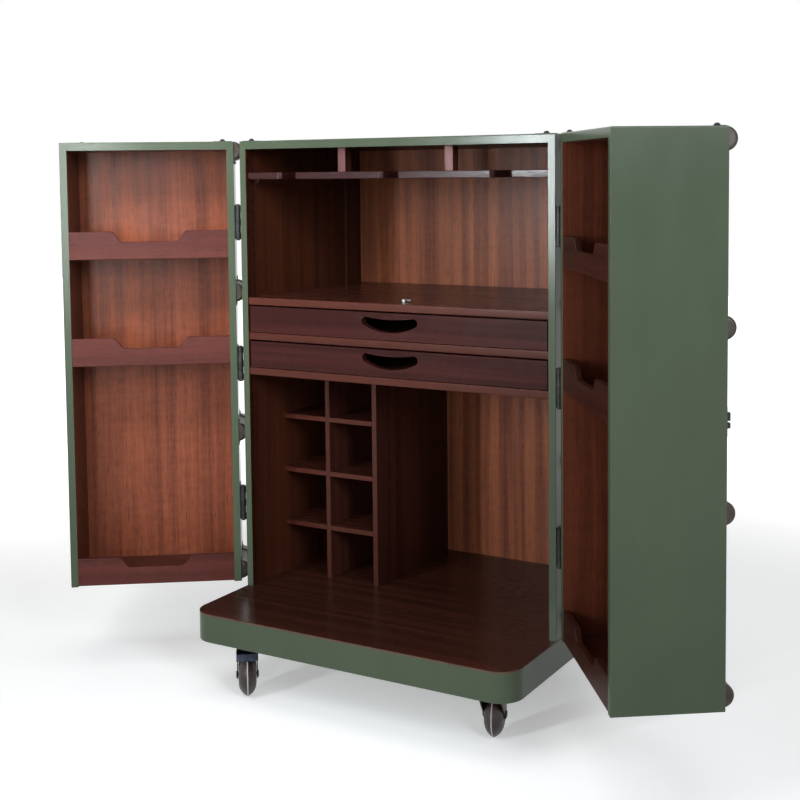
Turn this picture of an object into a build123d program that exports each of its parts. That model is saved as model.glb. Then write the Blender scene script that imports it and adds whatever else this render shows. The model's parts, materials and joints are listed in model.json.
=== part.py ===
from build123d import *
from math import cos, radians, sin, sqrt
import os

os.makedirs("parts", exist_ok=True)

# The case stands on the floor at Z 0. X runs to the right and Y to the back,
# and the plane Y 0 is the front of the case, where the two doors close.
# All sizes are in millimetres and all angles in degrees.

# Overall sizes
case_width = 758
case_height = 1000
case_inner_depth = 465
castor_height = 120
platform_height = 61
platform_overhang = 203
corner_radius = 49
left_door_angle = 144
right_door_angle = 126

# Boards
board = 12
lining = 4
top_board = 14
lip_depth = 12
edge_round = 2.5
least_corner_wall = 4
corner_post_proud = 6
corner_post_reach = 65
deck_thickness = 3
deck_edge_round = 1
platform_rim_wall = 18
platform_top_web = 12
platform_floor = 9

# Counter, drawers and shelves, stacked up from the lower shelf's height above the deck
shelf_thickness = 16
shelf_setback = 3
lower_shelf_height = 481.5
lower_drawer_space = 62.5
upper_drawer_space = 62
drawer_front_thickness = 18
drawer_front_gap = 3
drawer_top_gap = 3.2
drawer_bottom_gap = 1
drawer_back_gap = 77
drawer_wall = 12
drawer_floor = 5
drawer_side_height = 47
drawer_side_gap = 4
drawer_side_lift = 2
runner_height = 12
runner_reach = 9
runner_clearance = 0.3
runner_front = 40
runner_back_gap = 85
pull_width = 135
pull_end_radius = 9.5
pull_height = 32
pull_dip = 4.5
pull_top_gap = 10
pull_top_angle = 8
pull_bottom_angle = 50
stud_radius = 6
stud_height = 6
stud_let_in = 1
stud_arm_radius = 1.8
stud_arm_height = 4
stud_arm_length = 11
stud_place = (7, 55)

# Glass rack
rack_drop = 66.5
rack_thickness = 15
rack_setback = 8
rack_back_gap = 127
rack_slot_width = 34
rack_slot_back_gap = 45
rack_slot_pitch = 258
rack_slot_chamfer = 7
hanger_thickness = 19
hanger_pitch = 260
hanger_setback = 22
hanger_depth = 24
cleat_size = 16
cleat_setback = 32
cleat_back_gap = 16

# Bottle rack, set back in the lower compartment
rack_front = 133
divider_thickness = 11
divider_place = 118
partition_thickness = 12
partition_place = 243
bottle_shelf_thickness = 11
bottle_shelf_pitch = 125
bottle_shelf_count = 3
first_bottle_shelf = 111.7

# Doors, with heights above the deck
door_depth = 200
door_gap = 1
door_floor_gap = 8
tray_rail_height = 62
tray_rail_thickness = 12
tray_rail_setback = 1
tray_board = 10
tray_heights = (742, 505)
bottom_rail_lift = 2
notch_top_width = 160
notch_bottom_width = 123
notch_depth = 23.5
notch_top_round = 8
notch_bottom_round = 9

# Slats and their end caps
slat_count = 4
slat_half_height = 19
slat_depth = 18
cap_half_height = 21
cap_depth = 20
cap_length = 34
cap_end_round = 7
cap_tab_thickness = 1.2
cap_tab_reach = 8
cap_rivet_radius = 2.6
cap_rivet_height = 1.4
cap_rivet_taper = 30
lowest_slat = 10
slat_edge_gap = 9
slat_corner_gap = 6
case_slat_setback = 60

# Corner plates with a dome rivet
plate_thickness = 1.2
plate_length = 42
plate_width = 20
plate_edge_gap = 3
plate_let_in = 0.4
plate_round = 4
dome_radius = 6.2
dome_height = 5

# Hinges
hinge_offset = 7.4
barrel_radius = 6
barrel_length = 76
knuckle_count = 5
knuckle_gap = 0.2
hinge_pin_radius = 2.5
running_clearance = 0.05
pin_head_radius = 4.2
pin_head_height = 2
leaf_thickness = 2.5
leaf_length = 40
leaf_gap = 5
leaf_web = 4.4
leaf_screw_radius = 3.2
leaf_screw_height = 1

# Latch between the doors
latch_height = 63
latch_plate_thickness = 2
latch_plate_width = 32
latch_plate_gap = 5
latch_round = 9
lug_upper_height = 14
lug_lower_height = 9.4
lug_slot = 3.6
lug_reach = 10
lug_length = 12
lug_hole_radius = 2.2
lug_setback = 12
hasp_axis_setback = 22
hasp_thickness = 2.5
hasp_length = 56
hasp_height = 40
hasp_window_margin = 2
hasp_bar_clearance = 0.4
hasp_knuckle_radius = 3.3
hasp_pin_radius = 1.5
hasp_knuckle_height = 20
hasp_mount_length = 30
latch_running_gap = 0.25

# Castors
castor_inset = 85
wheel_radius = 46
wheel_half_width = 18.4
wheel_crown = 34
wheel_hub_half_width = 19
wheel_hub_radius = 11
wheel_bore_clearance = 0.06
tread_ridge = 0.8
castor_trail = 40
castor_plate_size = 66
castor_plate_thickness = 4
castor_plate_round = 8
castor_screw_radius = 5
castor_screw_height = 2
castor_screw_inset = 11
race_radius = 25.5
race_height = 6
race_gap = 0.2
crown_thickness = 6
head_height = 6
king_pin_radius = 5
king_nut_radius = 9
king_nut_height = 4
fork_leg_thickness = 2.5
fork_half_width = 22
fork_crown_back = 20
fork_crown_front = 38
fork_foot_radius = 10
axle_radius = 4
axle_nut_radius = 7
axle_nut_thickness = 2
brake_hinge_width = 36
brake_width = 46
brake_ear_gap = 3
brake_thickness = 3
brake_pin_radius = 2
brake_barrel_radius = 4
brake_reach = 25
brake_drop = 15
brake_slope = 5

# Directions in which the castors' wheels trail, seen from above
castor_directions = {
    "front_left": -52.6,
    "front_right": 106.6,
    "rear_left": 128,
    "rear_right": 84,
}

# One overrun for all cuts
overrun = 5

low_corner = (Align.MIN, Align.MIN, Align.MIN)
base_centre = (Align.CENTER, Align.CENTER, Align.MIN)

# Places worked out from the sizes
half = case_width / 2
side_lip = board + lining
plate_inset_x = plate_edge_gap + plate_length / 2
plate_inset_y = plate_edge_gap + plate_width / 2
top_lip = top_board + lining
inner_half = half - side_lip
case_back_y = case_inner_depth + lining + board
deck_z = castor_height + platform_height
top_z = deck_z + case_height
shell_top_z = top_z - top_board
inner_top_z = top_z - top_lip
platform_depth = platform_overhang + case_back_y
platform_middle = (case_back_y - platform_overhang) / 2
post_front_y = case_inner_depth - corner_post_reach
post_x = inner_half - corner_post_proud
straight_back_y = case_back_y - corner_radius
corner_x = half - corner_radius

nodes = {}


def group(*pieces):
    """Join separate solids in one node without fusing them."""
    return Compound([solid for piece in pieces for solid in piece.solids()])


def both_sides(piece):
    """A piece of the right-hand side together with its mirror image on the left."""
    return group(piece, mirror(piece, about=Plane.YZ))


# Platform: a rim with a web on top, a floor let in below, and the deck board on it
with BuildPart() as platform_rim:
    with BuildSketch(Plane.XY.offset(castor_height)):
        with Locations((0, platform_middle)):
            RectangleRounded(case_width, platform_depth, corner_radius)
    extrude(amount=platform_height - deck_thickness)
    with BuildSketch(Plane.XY.offset(castor_height)):
        with Locations((0, platform_middle)):
            RectangleRounded(
                case_width - 2 * platform_rim_wall,
                platform_depth - 2 * platform_rim_wall,
                corner_radius - platform_rim_wall,
            )
    extrude(amount=platform_height - deck_thickness - platform_top_web, mode=Mode.SUBTRACT)
nodes["platform_rim"] = platform_rim.part

with BuildPart() as platform_bottom:
    with BuildSketch(Plane.XY.offset(castor_height)):
        with Locations((0, platform_middle)):
            RectangleRounded(
                case_width - 2 * platform_rim_wall,
                platform_depth - 2 * platform_rim_wall,
                corner_radius - platform_rim_wall,
            )
    extrude(amount=platform_floor)
nodes["platform_bottom"] = platform_bottom.part

with BuildPart() as deck_board:
    with BuildSketch(Plane.XY.offset(deck_z - deck_thickness)):
        with Locations((0, platform_middle)):
            RectangleRounded(case_width, platform_depth, corner_radius)
    extrude(amount=deck_thickness)
    fillet(deck_board.faces().sort_by(Axis.Z)[-1].edges(), radius=deck_edge_round)
nodes["deck_board"] = deck_board.part

# Case: two sides with a front lip, rounded rear corner posts, a back and a top
with BuildPart() as case_right_side:
    with Locations((half - board, 0, deck_z)):
        Box(board, straight_back_y, shell_top_z - deck_z, align=low_corner)
    with Locations((inner_half, 0, deck_z)):
        Box(side_lip, lip_depth, shell_top_z - deck_z, align=low_corner)
nodes["case_right_side"] = case_right_side.part
nodes["case_left_side"] = mirror(case_right_side.part, about=Plane.YZ)

with BuildPart() as case_corner_post:
    with BuildSketch(Plane.XY.offset(deck_z)):
        with BuildLine():
            Polyline(
                (half, straight_back_y),
                (half - board, straight_back_y),
                (half - board, post_front_y),
                (post_x, post_front_y),
                (post_x, case_inner_depth + lining),
                (corner_x, case_inner_depth + lining),
                (corner_x, case_back_y),
            )
            CenterArc((corner_x, straight_back_y), corner_radius, 0, 90)
        make_face()
    extrude(amount=shell_top_z - deck_z)
nodes["case_corner_posts"] = both_sides(case_corner_post.part)

with BuildPart() as case_back:
    with Locations((-corner_x, case_back_y - board, deck_z)):
        Box(2 * corner_x, board, shell_top_z - deck_z, align=low_corner)
nodes["case_back"] = case_back.part

with BuildPart() as case_top:
    with BuildSketch(Plane.XY.offset(shell_top_z)) as top_plan:
        with Locations((0, case_back_y / 2)):
            Rectangle(case_width, case_back_y)
        fillet(top_plan.vertices().group_by(Axis.Y)[-1], radius=corner_radius)
    extrude(amount=top_board)
    top_face = case_top.faces().sort_by(Axis.Z)[-1]
    fillet(top_face.edges(), radius=edge_round)
    with Locations((-inner_half, 0, inner_top_z)):
        Box(2 * inner_half, lip_depth, lining, align=low_corner)
    with BuildSketch(Plane.XY.offset(top_z)):
        with Locations(*[(side * (half - plate_inset_x), plate_inset_y) for side in (-1, 1)]):
            RectangleRounded(plate_length, plate_width, plate_round)
    extrude(amount=-plate_let_in, mode=Mode.SUBTRACT)
nodes["case_top"] = case_top.part

with BuildPart() as side_lining:
    with Locations((inner_half, lip_depth, deck_z)):
        Box(lining, post_front_y - lip_depth, inner_top_z - deck_z, align=low_corner)
with BuildPart() as back_lining:
    with Locations((-post_x, case_inner_depth, deck_z)):
        Box(2 * post_x, lining, inner_top_z - deck_z, align=low_corner)
with BuildPart() as ceiling_lining:
    with Locations((-half + board, lip_depth, inner_top_z)):
        Box(case_width - 2 * board, post_front_y - lip_depth, lining, align=low_corner)
    with Locations((-post_x, post_front_y, inner_top_z)):
        Box(2 * post_x, case_inner_depth + lining - post_front_y, lining, align=low_corner)
nodes["case_lining"] = group(both_sides(side_lining.part), back_lining.part, ceiling_lining.part)


def inner_shelf(front, width_x, z, thickness):
    """A board between two X places that fits round the rear corner posts."""
    low_x, high_x = width_x
    notch_width = corner_post_proud + overrun
    with BuildPart() as shelf:
        with Locations((low_x, front, z)):
            Box(high_x - low_x, case_inner_depth - front, thickness, align=low_corner)
        for notch_x in (post_x, -inner_half - overrun):
            with Locations((notch_x, post_front_y, z)):
                Box(notch_width, case_inner_depth, thickness, align=low_corner, mode=Mode.SUBTRACT)
    return shelf.part


# Counter, drawer rail and lower shelf
lower_shelf_z = deck_z + lower_shelf_height
drawer_rail_z = lower_shelf_z + shelf_thickness + lower_drawer_space
counter_z = drawer_rail_z + shelf_thickness + upper_drawer_space
full_width = (-inner_half, inner_half)
counter_top_z = counter_z + shelf_thickness
with BuildPart() as counter_board:
    add(inner_shelf(shelf_setback, full_width, counter_z, shelf_thickness))
    with Locations((stud_place[0], stud_place[1], counter_top_z - stud_let_in)):
        Cylinder(stud_radius + running_clearance, 2 * stud_let_in, align=base_centre, mode=Mode.SUBTRACT)
nodes["counter_board"] = counter_board.part
nodes["drawer_shelves"] = group(
    inner_shelf(shelf_setback, full_width, drawer_rail_z, shelf_thickness),
    inner_shelf(shelf_setback, full_width, lower_shelf_z, shelf_thickness),
)

with BuildPart() as counter_stud:
    with Locations((stud_place[0], stud_place[1], counter_top_z - stud_let_in)):
        Cylinder(stud_radius, stud_let_in + stud_height, align=base_centre)
    with Locations((stud_place[0], stud_place[1], counter_top_z + stud_arm_height)):
        Cylinder(
            stud_arm_radius,
            stud_radius + stud_arm_length,
            rotation=(0, 90, 0),
            align=base_centre,
        )
nodes["counter_stud"] = counter_stud.part


# Drawers: each has a front with a finger pull, a box and a runner at each side
drawer_length = case_inner_depth - shelf_setback - drawer_back_gap
runner_length = case_inner_depth - runner_front - runner_back_gap


def drawer_front(low_z, high_z):
    """A drawer front between two heights, with the smile-shaped pull cut through it."""
    pull_end_x = pull_width / 2 - pull_end_radius
    pull_end_z = high_z - pull_top_gap - pull_end_radius
    top_turn = radians(90 - pull_top_angle)
    low_turn = radians(90 - pull_bottom_angle)
    end_top = (
        pull_end_x + pull_end_radius * cos(radians(90) + radians(pull_top_angle)),
        pull_end_z + pull_end_radius * sin(top_turn),
    )
    end_low = (
        pull_end_x + pull_end_radius * cos(low_turn),
        pull_end_z - pull_end_radius * sin(low_turn),
    )
    end_tip = (pull_end_x + pull_end_radius, pull_end_z)
    far_top, far_tip, far_low = [(-x, z) for x, z in (end_top, end_tip, end_low)]
    front_width = 2 * (inner_half - drawer_front_gap)
    with BuildPart() as front:
        with Locations((-inner_half + drawer_front_gap, shelf_setback, low_z)):
            Box(front_width, drawer_front_thickness, high_z - low_z, align=low_corner)
        with BuildSketch(Plane.XZ.offset(-shelf_setback + overrun)):
            with BuildLine():
                ThreePointArc(far_top, (0, high_z - pull_top_gap - pull_dip), end_top)
                ThreePointArc(end_top, end_tip, end_low)
                ThreePointArc(end_low, (0, high_z - pull_top_gap - pull_height), far_low)
                ThreePointArc(far_low, far_tip, far_top)
            make_face()
        extrude(amount=-(drawer_front_thickness + 2 * overrun), mode=Mode.SUBTRACT)
    return front.part


def runner_z(front_low_z):
    """Height of a runner's underside above the floor, half way up the drawer's side."""
    return front_low_z + drawer_side_lift + (drawer_side_height - runner_height) / 2


def drawer_box(front_low_z):
    """The sides, back and floor behind a drawer front, with a groove for each runner."""
    outer_half = inner_half - drawer_side_gap
    box_front = shelf_setback + drawer_front_thickness
    box_length = drawer_length - drawer_front_thickness
    box_z = front_low_z + drawer_side_lift
    with BuildPart() as box:
        with Locations((-outer_half, box_front, box_z)):
            Box(2 * outer_half, box_length, drawer_side_height, align=low_corner)
        with Locations((-outer_half + drawer_wall, box_front - overrun, box_z + drawer_floor)):
            Box(
                2 * (outer_half - drawer_wall),
                box_length + overrun - drawer_wall,
                drawer_side_height,
                align=low_corner,
                mode=Mode.SUBTRACT,
            )
        groove_x = inner_half - runner_reach - runner_clearance
        groove_z = runner_z(front_low_z) - runner_clearance
        for side in (-1, 1):
            with Locations((side * (groove_x + half) / 2, box_front, groove_z)):
                Box(
                    half - groove_x,
                    2 * (box_length + overrun),
                    runner_height + 2 * runner_clearance,
                    align=base_centre,
                    mode=Mode.SUBTRACT,
                )
    return box.part


upper_front_low = drawer_rail_z + shelf_thickness + drawer_bottom_gap
upper_front_high = counter_z - drawer_top_gap
lower_front_low = lower_shelf_z + shelf_thickness + drawer_bottom_gap
lower_front_high = drawer_rail_z - drawer_top_gap
nodes["upper_drawer_front"] = drawer_front(upper_front_low, upper_front_high)
nodes["upper_drawer_box"] = drawer_box(upper_front_low)
nodes["lower_drawer_front"] = drawer_front(lower_front_low, lower_front_high)
nodes["lower_drawer_box"] = drawer_box(lower_front_low)

with BuildPart() as right_runners:
    for front_low_z in (upper_front_low, lower_front_low):
        with Locations((inner_half - runner_reach, runner_front, runner_z(front_low_z))):
            Box(runner_reach, runner_length, runner_height, align=low_corner)
nodes["drawer_runners"] = both_sides(right_runners.part)

# Glass rack: a slotted board that hangs from the ceiling on two posts and rests on two cleats
rack_z = inner_top_z - rack_drop
rack_depth = case_inner_depth - rack_setback - rack_back_gap
rack_slot_length = rack_depth - rack_slot_back_gap
slot_mouth = sqrt(2) * (rack_slot_width / 2 + rack_slot_chamfer)
with BuildPart() as glass_rack:
    with Locations((-inner_half, rack_setback, rack_z)):
        Box(2 * inner_half, rack_depth, rack_thickness, align=low_corner)
    with BuildSketch(Plane.XY.offset(rack_z)):
        with Locations(*[(place * rack_slot_pitch, rack_setback) for place in (-1, 0, 1)]):
            Rectangle(rack_slot_width, 2 * (rack_slot_length - rack_slot_width / 2))
            with Locations((0, rack_slot_length - rack_slot_width / 2)):
                Circle(rack_slot_width / 2)
            Rectangle(slot_mouth, slot_mouth, rotation=45)
    extrude(amount=rack_thickness, mode=Mode.SUBTRACT)
nodes["glass_rack"] = glass_rack.part

hanger_x = (hanger_pitch - hanger_thickness) / 2
cleat_length = rack_setback + rack_depth - cleat_setback - cleat_back_gap
with BuildPart() as right_hanger:
    with Locations((hanger_x, rack_setback + hanger_setback, rack_z + rack_thickness)):
        Box(
            hanger_thickness,
            hanger_depth,
            inner_top_z - rack_z - rack_thickness,
            align=low_corner,
        )
    with BuildSketch(Plane.XZ.offset(-cleat_setback)):
        with BuildLine():
            Polyline(
                (inner_half, rack_z),
                (inner_half - cleat_size, rack_z),
                (inner_half, rack_z - cleat_size),
                close=True,
            )
        make_face()
    extrude(amount=-cleat_length)
nodes["glass_rack_hangers"] = both_sides(right_hanger.part)

# Bottle rack: a divider, a tall partition and short shelves between them
divider_x = -inner_half + divider_place
partition_x = -inner_half + partition_place
with BuildPart() as bottle_divider:
    with Locations((divider_x - divider_thickness / 2, rack_front, deck_z)):
        Box(divider_thickness, case_inner_depth - rack_front, lower_shelf_height, align=low_corner)
nodes["bottle_divider"] = bottle_divider.part

with BuildPart() as tall_partition:
    with Locations((partition_x - partition_thickness / 2, rack_front, deck_z)):
        Box(partition_thickness, case_inner_depth - rack_front, lower_shelf_height, align=low_corner)
nodes["tall_partition"] = tall_partition.part

bottle_columns = (
    (-inner_half, divider_x - divider_thickness / 2),
    (divider_x + divider_thickness / 2, partition_x - partition_thickness / 2),
)
bottle_shelves = [
    inner_shelf(
        rack_front,
        column,
        deck_z + first_bottle_shelf + level * bottle_shelf_pitch,
        bottle_shelf_thickness,
    )
    for column in bottle_columns
    for level in range(bottle_shelf_count)
]
nodes["bottle_shelves"] = group(*bottle_shelves)

# Slat heights above the floor, evenly spread from the lowest to the case's top
slat_pitch = (case_height - 2 * cap_half_height - lowest_slat) / (slat_count - 1)
slat_heights = [deck_z + lowest_slat + cap_half_height + level * slat_pitch for level in range(slat_count)]
hinge_heights = [height + slat_pitch / 2 for height in slat_heights[:-1]]


def d_profile(half_height, depth):
    """A D-shaped section drawn on the current plane, flat side on its Y axis and round side to +X."""
    with BuildSketch() as section:
        with BuildLine():
            ThreePointArc((0, -half_height), (depth, 0), (0, half_height))
            Line((0, half_height), (0, -half_height))
        make_face()
    return section.sketch


def slat_row(origin, out, length):
    """Slats and caps on one face: they start at origin, run along the face, and stand out from it."""
    across = Vector(0, 0, 1).cross(Vector(*out))
    slats = []
    caps = []
    for height in slat_heights:
        start = Vector(origin[0], origin[1], height)
        face_plane = Plane(origin=start, x_dir=out, z_dir=across)
        with BuildPart() as slat:
            with BuildSketch(face_plane.offset(cap_length)):
                add(d_profile(slat_half_height, slat_depth))
            extrude(amount=length - 2 * cap_length)
        slats.append(slat.part)
        low_tab = max(-cap_half_height - cap_tab_reach, deck_z + door_floor_gap - height)
        high_tab = min(cap_half_height + cap_tab_reach, top_z - height)
        for turned in (False, True):
            cap_start = face_plane.offset(length) if turned else face_plane
            cap_plane = Plane(
                origin=cap_start.origin,
                x_dir=out,
                z_dir=-across if turned else across,
            )
            up = cap_plane.y_dir.Z
            with BuildPart() as cap:
                with BuildSketch(cap_plane):
                    add(d_profile(cap_half_height, cap_depth))
                extrude(amount=cap_length)
                end_edge = cap.edges().filter_by(GeomType.CIRCLE).sort_by_distance(cap_plane.origin)[0]
                fillet(end_edge, radius=cap_end_round)
                with BuildSketch(cap_plane):
                    with Locations((cap_tab_thickness / 2, up * (low_tab + high_tab) / 2)):
                        Rectangle(cap_tab_thickness, high_tab - low_tab)
                extrude(amount=cap_length)
                rivet_places = [
                    side * (cap_half_height + cap_tab_reach / 2)
                    for side in (-1, 1)
                    if low_tab <= side * (cap_half_height + cap_tab_reach) <= high_tab
                ]
                rivet_plane = Plane(
                    origin=cap_plane.origin + cap_plane.z_dir * (cap_length / 2),
                    x_dir=cap_plane.z_dir,
                    z_dir=out,
                )
                with BuildSketch(rivet_plane.offset(cap_tab_thickness)):
                    with Locations(*[(0, rivet_plane.y_dir.Z * place) for place in rivet_places]):
                        Circle(cap_rivet_radius)
                extrude(amount=cap_rivet_height, taper=cap_rivet_taper)
            caps.append(cap.part)
    return group(*slats), group(*caps)


# Slats of the case: along both sides and across the back
side_slat_length = straight_back_y - slat_corner_gap - case_slat_setback
side_slats, side_caps = slat_row((half, case_slat_setback), (1, 0, 0), side_slat_length)
back_slat_x = corner_x - slat_corner_gap
back_slats, back_caps = slat_row((back_slat_x, case_back_y), (0, 1, 0), 2 * back_slat_x)
nodes["case_slats"] = group(both_sides(side_slats), back_slats)
nodes["case_slat_caps"] = group(both_sides(side_caps), back_caps)


def corner_plate(x, y):
    """A thin plate with a dome rivet, let into a top board and centred on a place."""
    plate_top_z = top_z - plate_let_in + plate_thickness
    dome_full_radius = (dome_radius**2 + dome_height**2) / (2 * dome_height)
    with BuildPart() as plate:
        with BuildSketch(Plane.XY.offset(plate_top_z)):
            with Locations((x, y)):
                RectangleRounded(plate_length, plate_width, plate_round)
        extrude(amount=-plate_thickness)
        with BuildSketch(Plane(origin=(x, y, plate_top_z), x_dir=(1, 0, 0), z_dir=(0, -1, 0))):
            with BuildLine():
                Line((0, 0), (dome_radius, 0))
                RadiusArc((dome_radius, 0), (0, dome_height), -dome_full_radius)
                Line((0, dome_height), (0, 0))
            make_face()
        revolve(axis=Axis((x, y, plate_top_z), (0, 0, 1)))
    return plate.part


nodes["case_corner_plates"] = both_sides(corner_plate(half - plate_inset_x, plate_inset_y))


# Hinges: the right-hand leaf that reaches to the back (+1) or to the front (-1) of the barrel
hinge_x = half + hinge_offset
knuckle_height = barrel_length / knuckle_count


def hinge_leaf(centre_z, direction, own_knuckles):
    """One leaf with its own knuckles, on the right-hand side of the case."""
    low_z = centre_z - barrel_length / 2
    plate_y = direction * (leaf_gap + leaf_length / 2)
    web_length = 2 * leaf_gap - barrel_radius / 2
    web_y = direction * (barrel_radius / 2 + web_length) / 2
    with BuildPart() as leaf:
        with Locations((half + leaf_thickness / 2, plate_y, low_z)):
            Box(leaf_thickness, leaf_length, barrel_length, align=base_centre)
        for knuckle in own_knuckles:
            knuckle_z = low_z + knuckle * knuckle_height + knuckle_gap / 2
            with Locations((half + leaf_web / 2, web_y, knuckle_z)):
                Box(leaf_web, web_length, knuckle_height - knuckle_gap, align=base_centre)
            with Locations((hinge_x, 0, knuckle_z)):
                Cylinder(barrel_radius, knuckle_height - knuckle_gap, align=base_centre)
        with Locations((hinge_x, 0, low_z)):
            Cylinder(
                hinge_pin_radius + running_clearance,
                barrel_length,
                align=base_centre,
                mode=Mode.SUBTRACT,
            )
        for screw in (-1, 1):
            screw_z = centre_z + screw * barrel_length / 4
            with Locations((half + leaf_thickness, plate_y, screw_z)):
                Cylinder(leaf_screw_radius, leaf_screw_height, rotation=(0, 90, 0), align=base_centre)
    return leaf.part


def hinge_pin(centre_z):
    """A pin through the knuckles with a button head at each end."""
    low_z = centre_z - barrel_length / 2
    with BuildPart() as pin:
        with Locations((hinge_x, 0, low_z - knuckle_gap)):
            Cylinder(hinge_pin_radius, barrel_length + 2 * knuckle_gap, align=base_centre)
        for head_z in (low_z - knuckle_gap - pin_head_height, low_z + barrel_length + knuckle_gap):
            with Locations((hinge_x, 0, head_z)):
                Cylinder(pin_head_radius, pin_head_height, align=base_centre)
    return pin.part


case_knuckles = range(0, knuckle_count, 2)
door_knuckles = range(1, knuckle_count, 2)
case_leaves = [hinge_leaf(height, 1, case_knuckles) for height in hinge_heights]
case_pins = [hinge_pin(height) for height in hinge_heights]
nodes["case_hinge_leaves"] = both_sides(group(*case_leaves, *case_pins))

# Doors: both are made closed, as the right-hand door, and then hung at their resting angle
meeting_x = door_gap / 2
rim_y = -door_gap
door_face_y = rim_y - door_depth
door_z = deck_z + door_floor_gap
door_inner_low_x = meeting_x + side_lip
door_inner_front_y = door_face_y + side_lip
door_inner_back_y = rim_y - tray_rail_setback - tray_rail_thickness
corner_y = door_face_y + corner_radius

# The inner corner is rounded just enough to leave the least wall behind the outer curve
door_inner_round = max(
    edge_round,
    corner_radius - (side_lip * sqrt(2) - least_corner_wall) / (sqrt(2) - 1),
)


def hang(piece, side):
    """Turn a piece of the closed right-hand door to where the named door rests."""
    if side == "right":
        return piece.rotate(Axis((hinge_x, 0, 0), (0, 0, 1)), right_door_angle)
    return mirror(piece, about=Plane.YZ).rotate(Axis((-hinge_x, 0, 0), (0, 0, 1)), -left_door_angle)


def door_inner_board(z, thickness, back_y):
    """A board or sheet that fills the door's inside in plan, up to a given Y place."""
    with BuildPart() as inner_board:
        with BuildSketch(Plane.XY.offset(z)) as plan:
            with Locations(((door_inner_low_x + inner_half) / 2, (door_inner_front_y + back_y) / 2)):
                Rectangle(inner_half - door_inner_low_x, back_y - door_inner_front_y)
            fillet(
                plan.vertices().sort_by_distance((inner_half, door_inner_front_y))[0],
                radius=door_inner_round,
            )
        extrude(amount=thickness)
    return inner_board.part


# Front board with its rounded corner post
with BuildPart() as door_front_board:
    with Locations((meeting_x, door_face_y, door_z)):
        Box(corner_x - meeting_x, board, shell_top_z - door_z, align=low_corner)
with BuildPart() as door_corner_post:
    with BuildSketch(Plane.XY.offset(door_z)) as post_plan:
        with BuildLine():
            Polyline(
                (half, corner_y),
                (inner_half, corner_y),
                (inner_half, door_inner_front_y),
                (corner_x, door_inner_front_y),
                (corner_x, door_face_y),
            )
            CenterArc((corner_x, corner_y), corner_radius, -90, 90)
        make_face()
        fillet(
            post_plan.vertices().sort_by_distance((inner_half, door_inner_front_y))[0],
            radius=door_inner_round,
        )
    extrude(amount=shell_top_z - door_z)
door_front = group(door_front_board.part, door_corner_post.part)

with BuildPart() as door_hinge_side:
    with Locations((half - board, corner_y, door_z)):
        Box(board, rim_y - corner_y, shell_top_z - door_z, align=low_corner)
    with Locations((inner_half, rim_y - lip_depth, door_z)):
        Box(side_lip, lip_depth, shell_top_z - door_z, align=low_corner)

with BuildPart() as door_meeting_side:
    with Locations((meeting_x, door_face_y + board, door_z)):
        Box(board, door_depth - board, shell_top_z - door_z, align=low_corner)
    with Locations((meeting_x, rim_y - lip_depth, door_z)):
        Box(side_lip, lip_depth, shell_top_z - door_z, align=low_corner)

door_plate_places = (
    (half - plate_inset_x, rim_y - plate_inset_y),
    (meeting_x + plate_inset_x, door_face_y + plate_inset_y),
)
with BuildPart() as door_top:
    with BuildSketch(Plane.XY.offset(shell_top_z)) as door_top_plan:
        with Locations(((meeting_x + half) / 2, (door_face_y + rim_y) / 2)):
            Rectangle(half - meeting_x, door_depth)
        fillet(door_top_plan.vertices().sort_by_distance((half, door_face_y))[0], radius=corner_radius)
    extrude(amount=top_board)
    fillet(door_top.faces().sort_by(Axis.Z)[-1].edges(), radius=edge_round)
    with Locations((door_inner_low_x, rim_y - lip_depth, inner_top_z)):
        Box(inner_half - door_inner_low_x, lip_depth, lining, align=low_corner)
    with BuildSketch(Plane.XY.offset(top_z)):
        with Locations(*door_plate_places):
            RectangleRounded(plate_length, plate_width, plate_round)
    extrude(amount=-plate_let_in, mode=Mode.SUBTRACT)
door_end_boards = group(door_top.part, door_inner_board(door_z, top_board, door_inner_back_y))

with BuildPart() as door_front_lining:
    with Locations((meeting_x + board, door_face_y + board, door_z)):
        Box(corner_x - meeting_x - board, lining, shell_top_z - door_z, align=low_corner)
with BuildPart() as door_meeting_lining:
    with Locations((meeting_x + board, door_inner_front_y, door_z)):
        Box(lining, rim_y - lip_depth - door_inner_front_y, shell_top_z - door_z, align=low_corner)
with BuildPart() as door_hinge_lining:
    with Locations((inner_half, corner_y, door_z)):
        Box(lining, rim_y - lip_depth - corner_y, shell_top_z - door_z, align=low_corner)
door_lining = group(
    door_front_lining.part,
    door_meeting_lining.part,
    door_hinge_lining.part,
    door_inner_board(inner_top_z, lining, rim_y - lip_depth),
)

# Trays: rails with a hand notch, and the boards behind the two upper ones
door_middle_x = (door_inner_low_x + inner_half) / 2


def tray_rail(low_z):
    """A rail across the door's opening with a notch with sloping ends in its top edge."""
    high_z = low_z + tray_rail_height
    with BuildPart() as rail:
        with BuildSketch(Plane.XZ.offset(-door_inner_back_y)) as face:
            with Locations((door_middle_x, low_z + tray_rail_height / 2)):
                Rectangle(inner_half - door_inner_low_x, tray_rail_height)
            with BuildLine():
                Polyline(
                    (door_middle_x - notch_top_width / 2, high_z),
                    (door_middle_x - notch_bottom_width / 2, high_z - notch_depth),
                    (door_middle_x + notch_bottom_width / 2, high_z - notch_depth),
                    (door_middle_x + notch_top_width / 2, high_z),
                    close=True,
                )
            make_face(mode=Mode.SUBTRACT)
            notch_foot = face.vertices().group_by(Axis.Y)[1]
            fillet(notch_foot, radius=notch_bottom_round)
            notch_lip = face.vertices().group_by(Axis.Y)[-1].sort_by(Axis.X)[1:3]
            fillet(notch_lip, radius=notch_top_round)
        extrude(amount=-tray_rail_thickness)
    return rail.part


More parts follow.
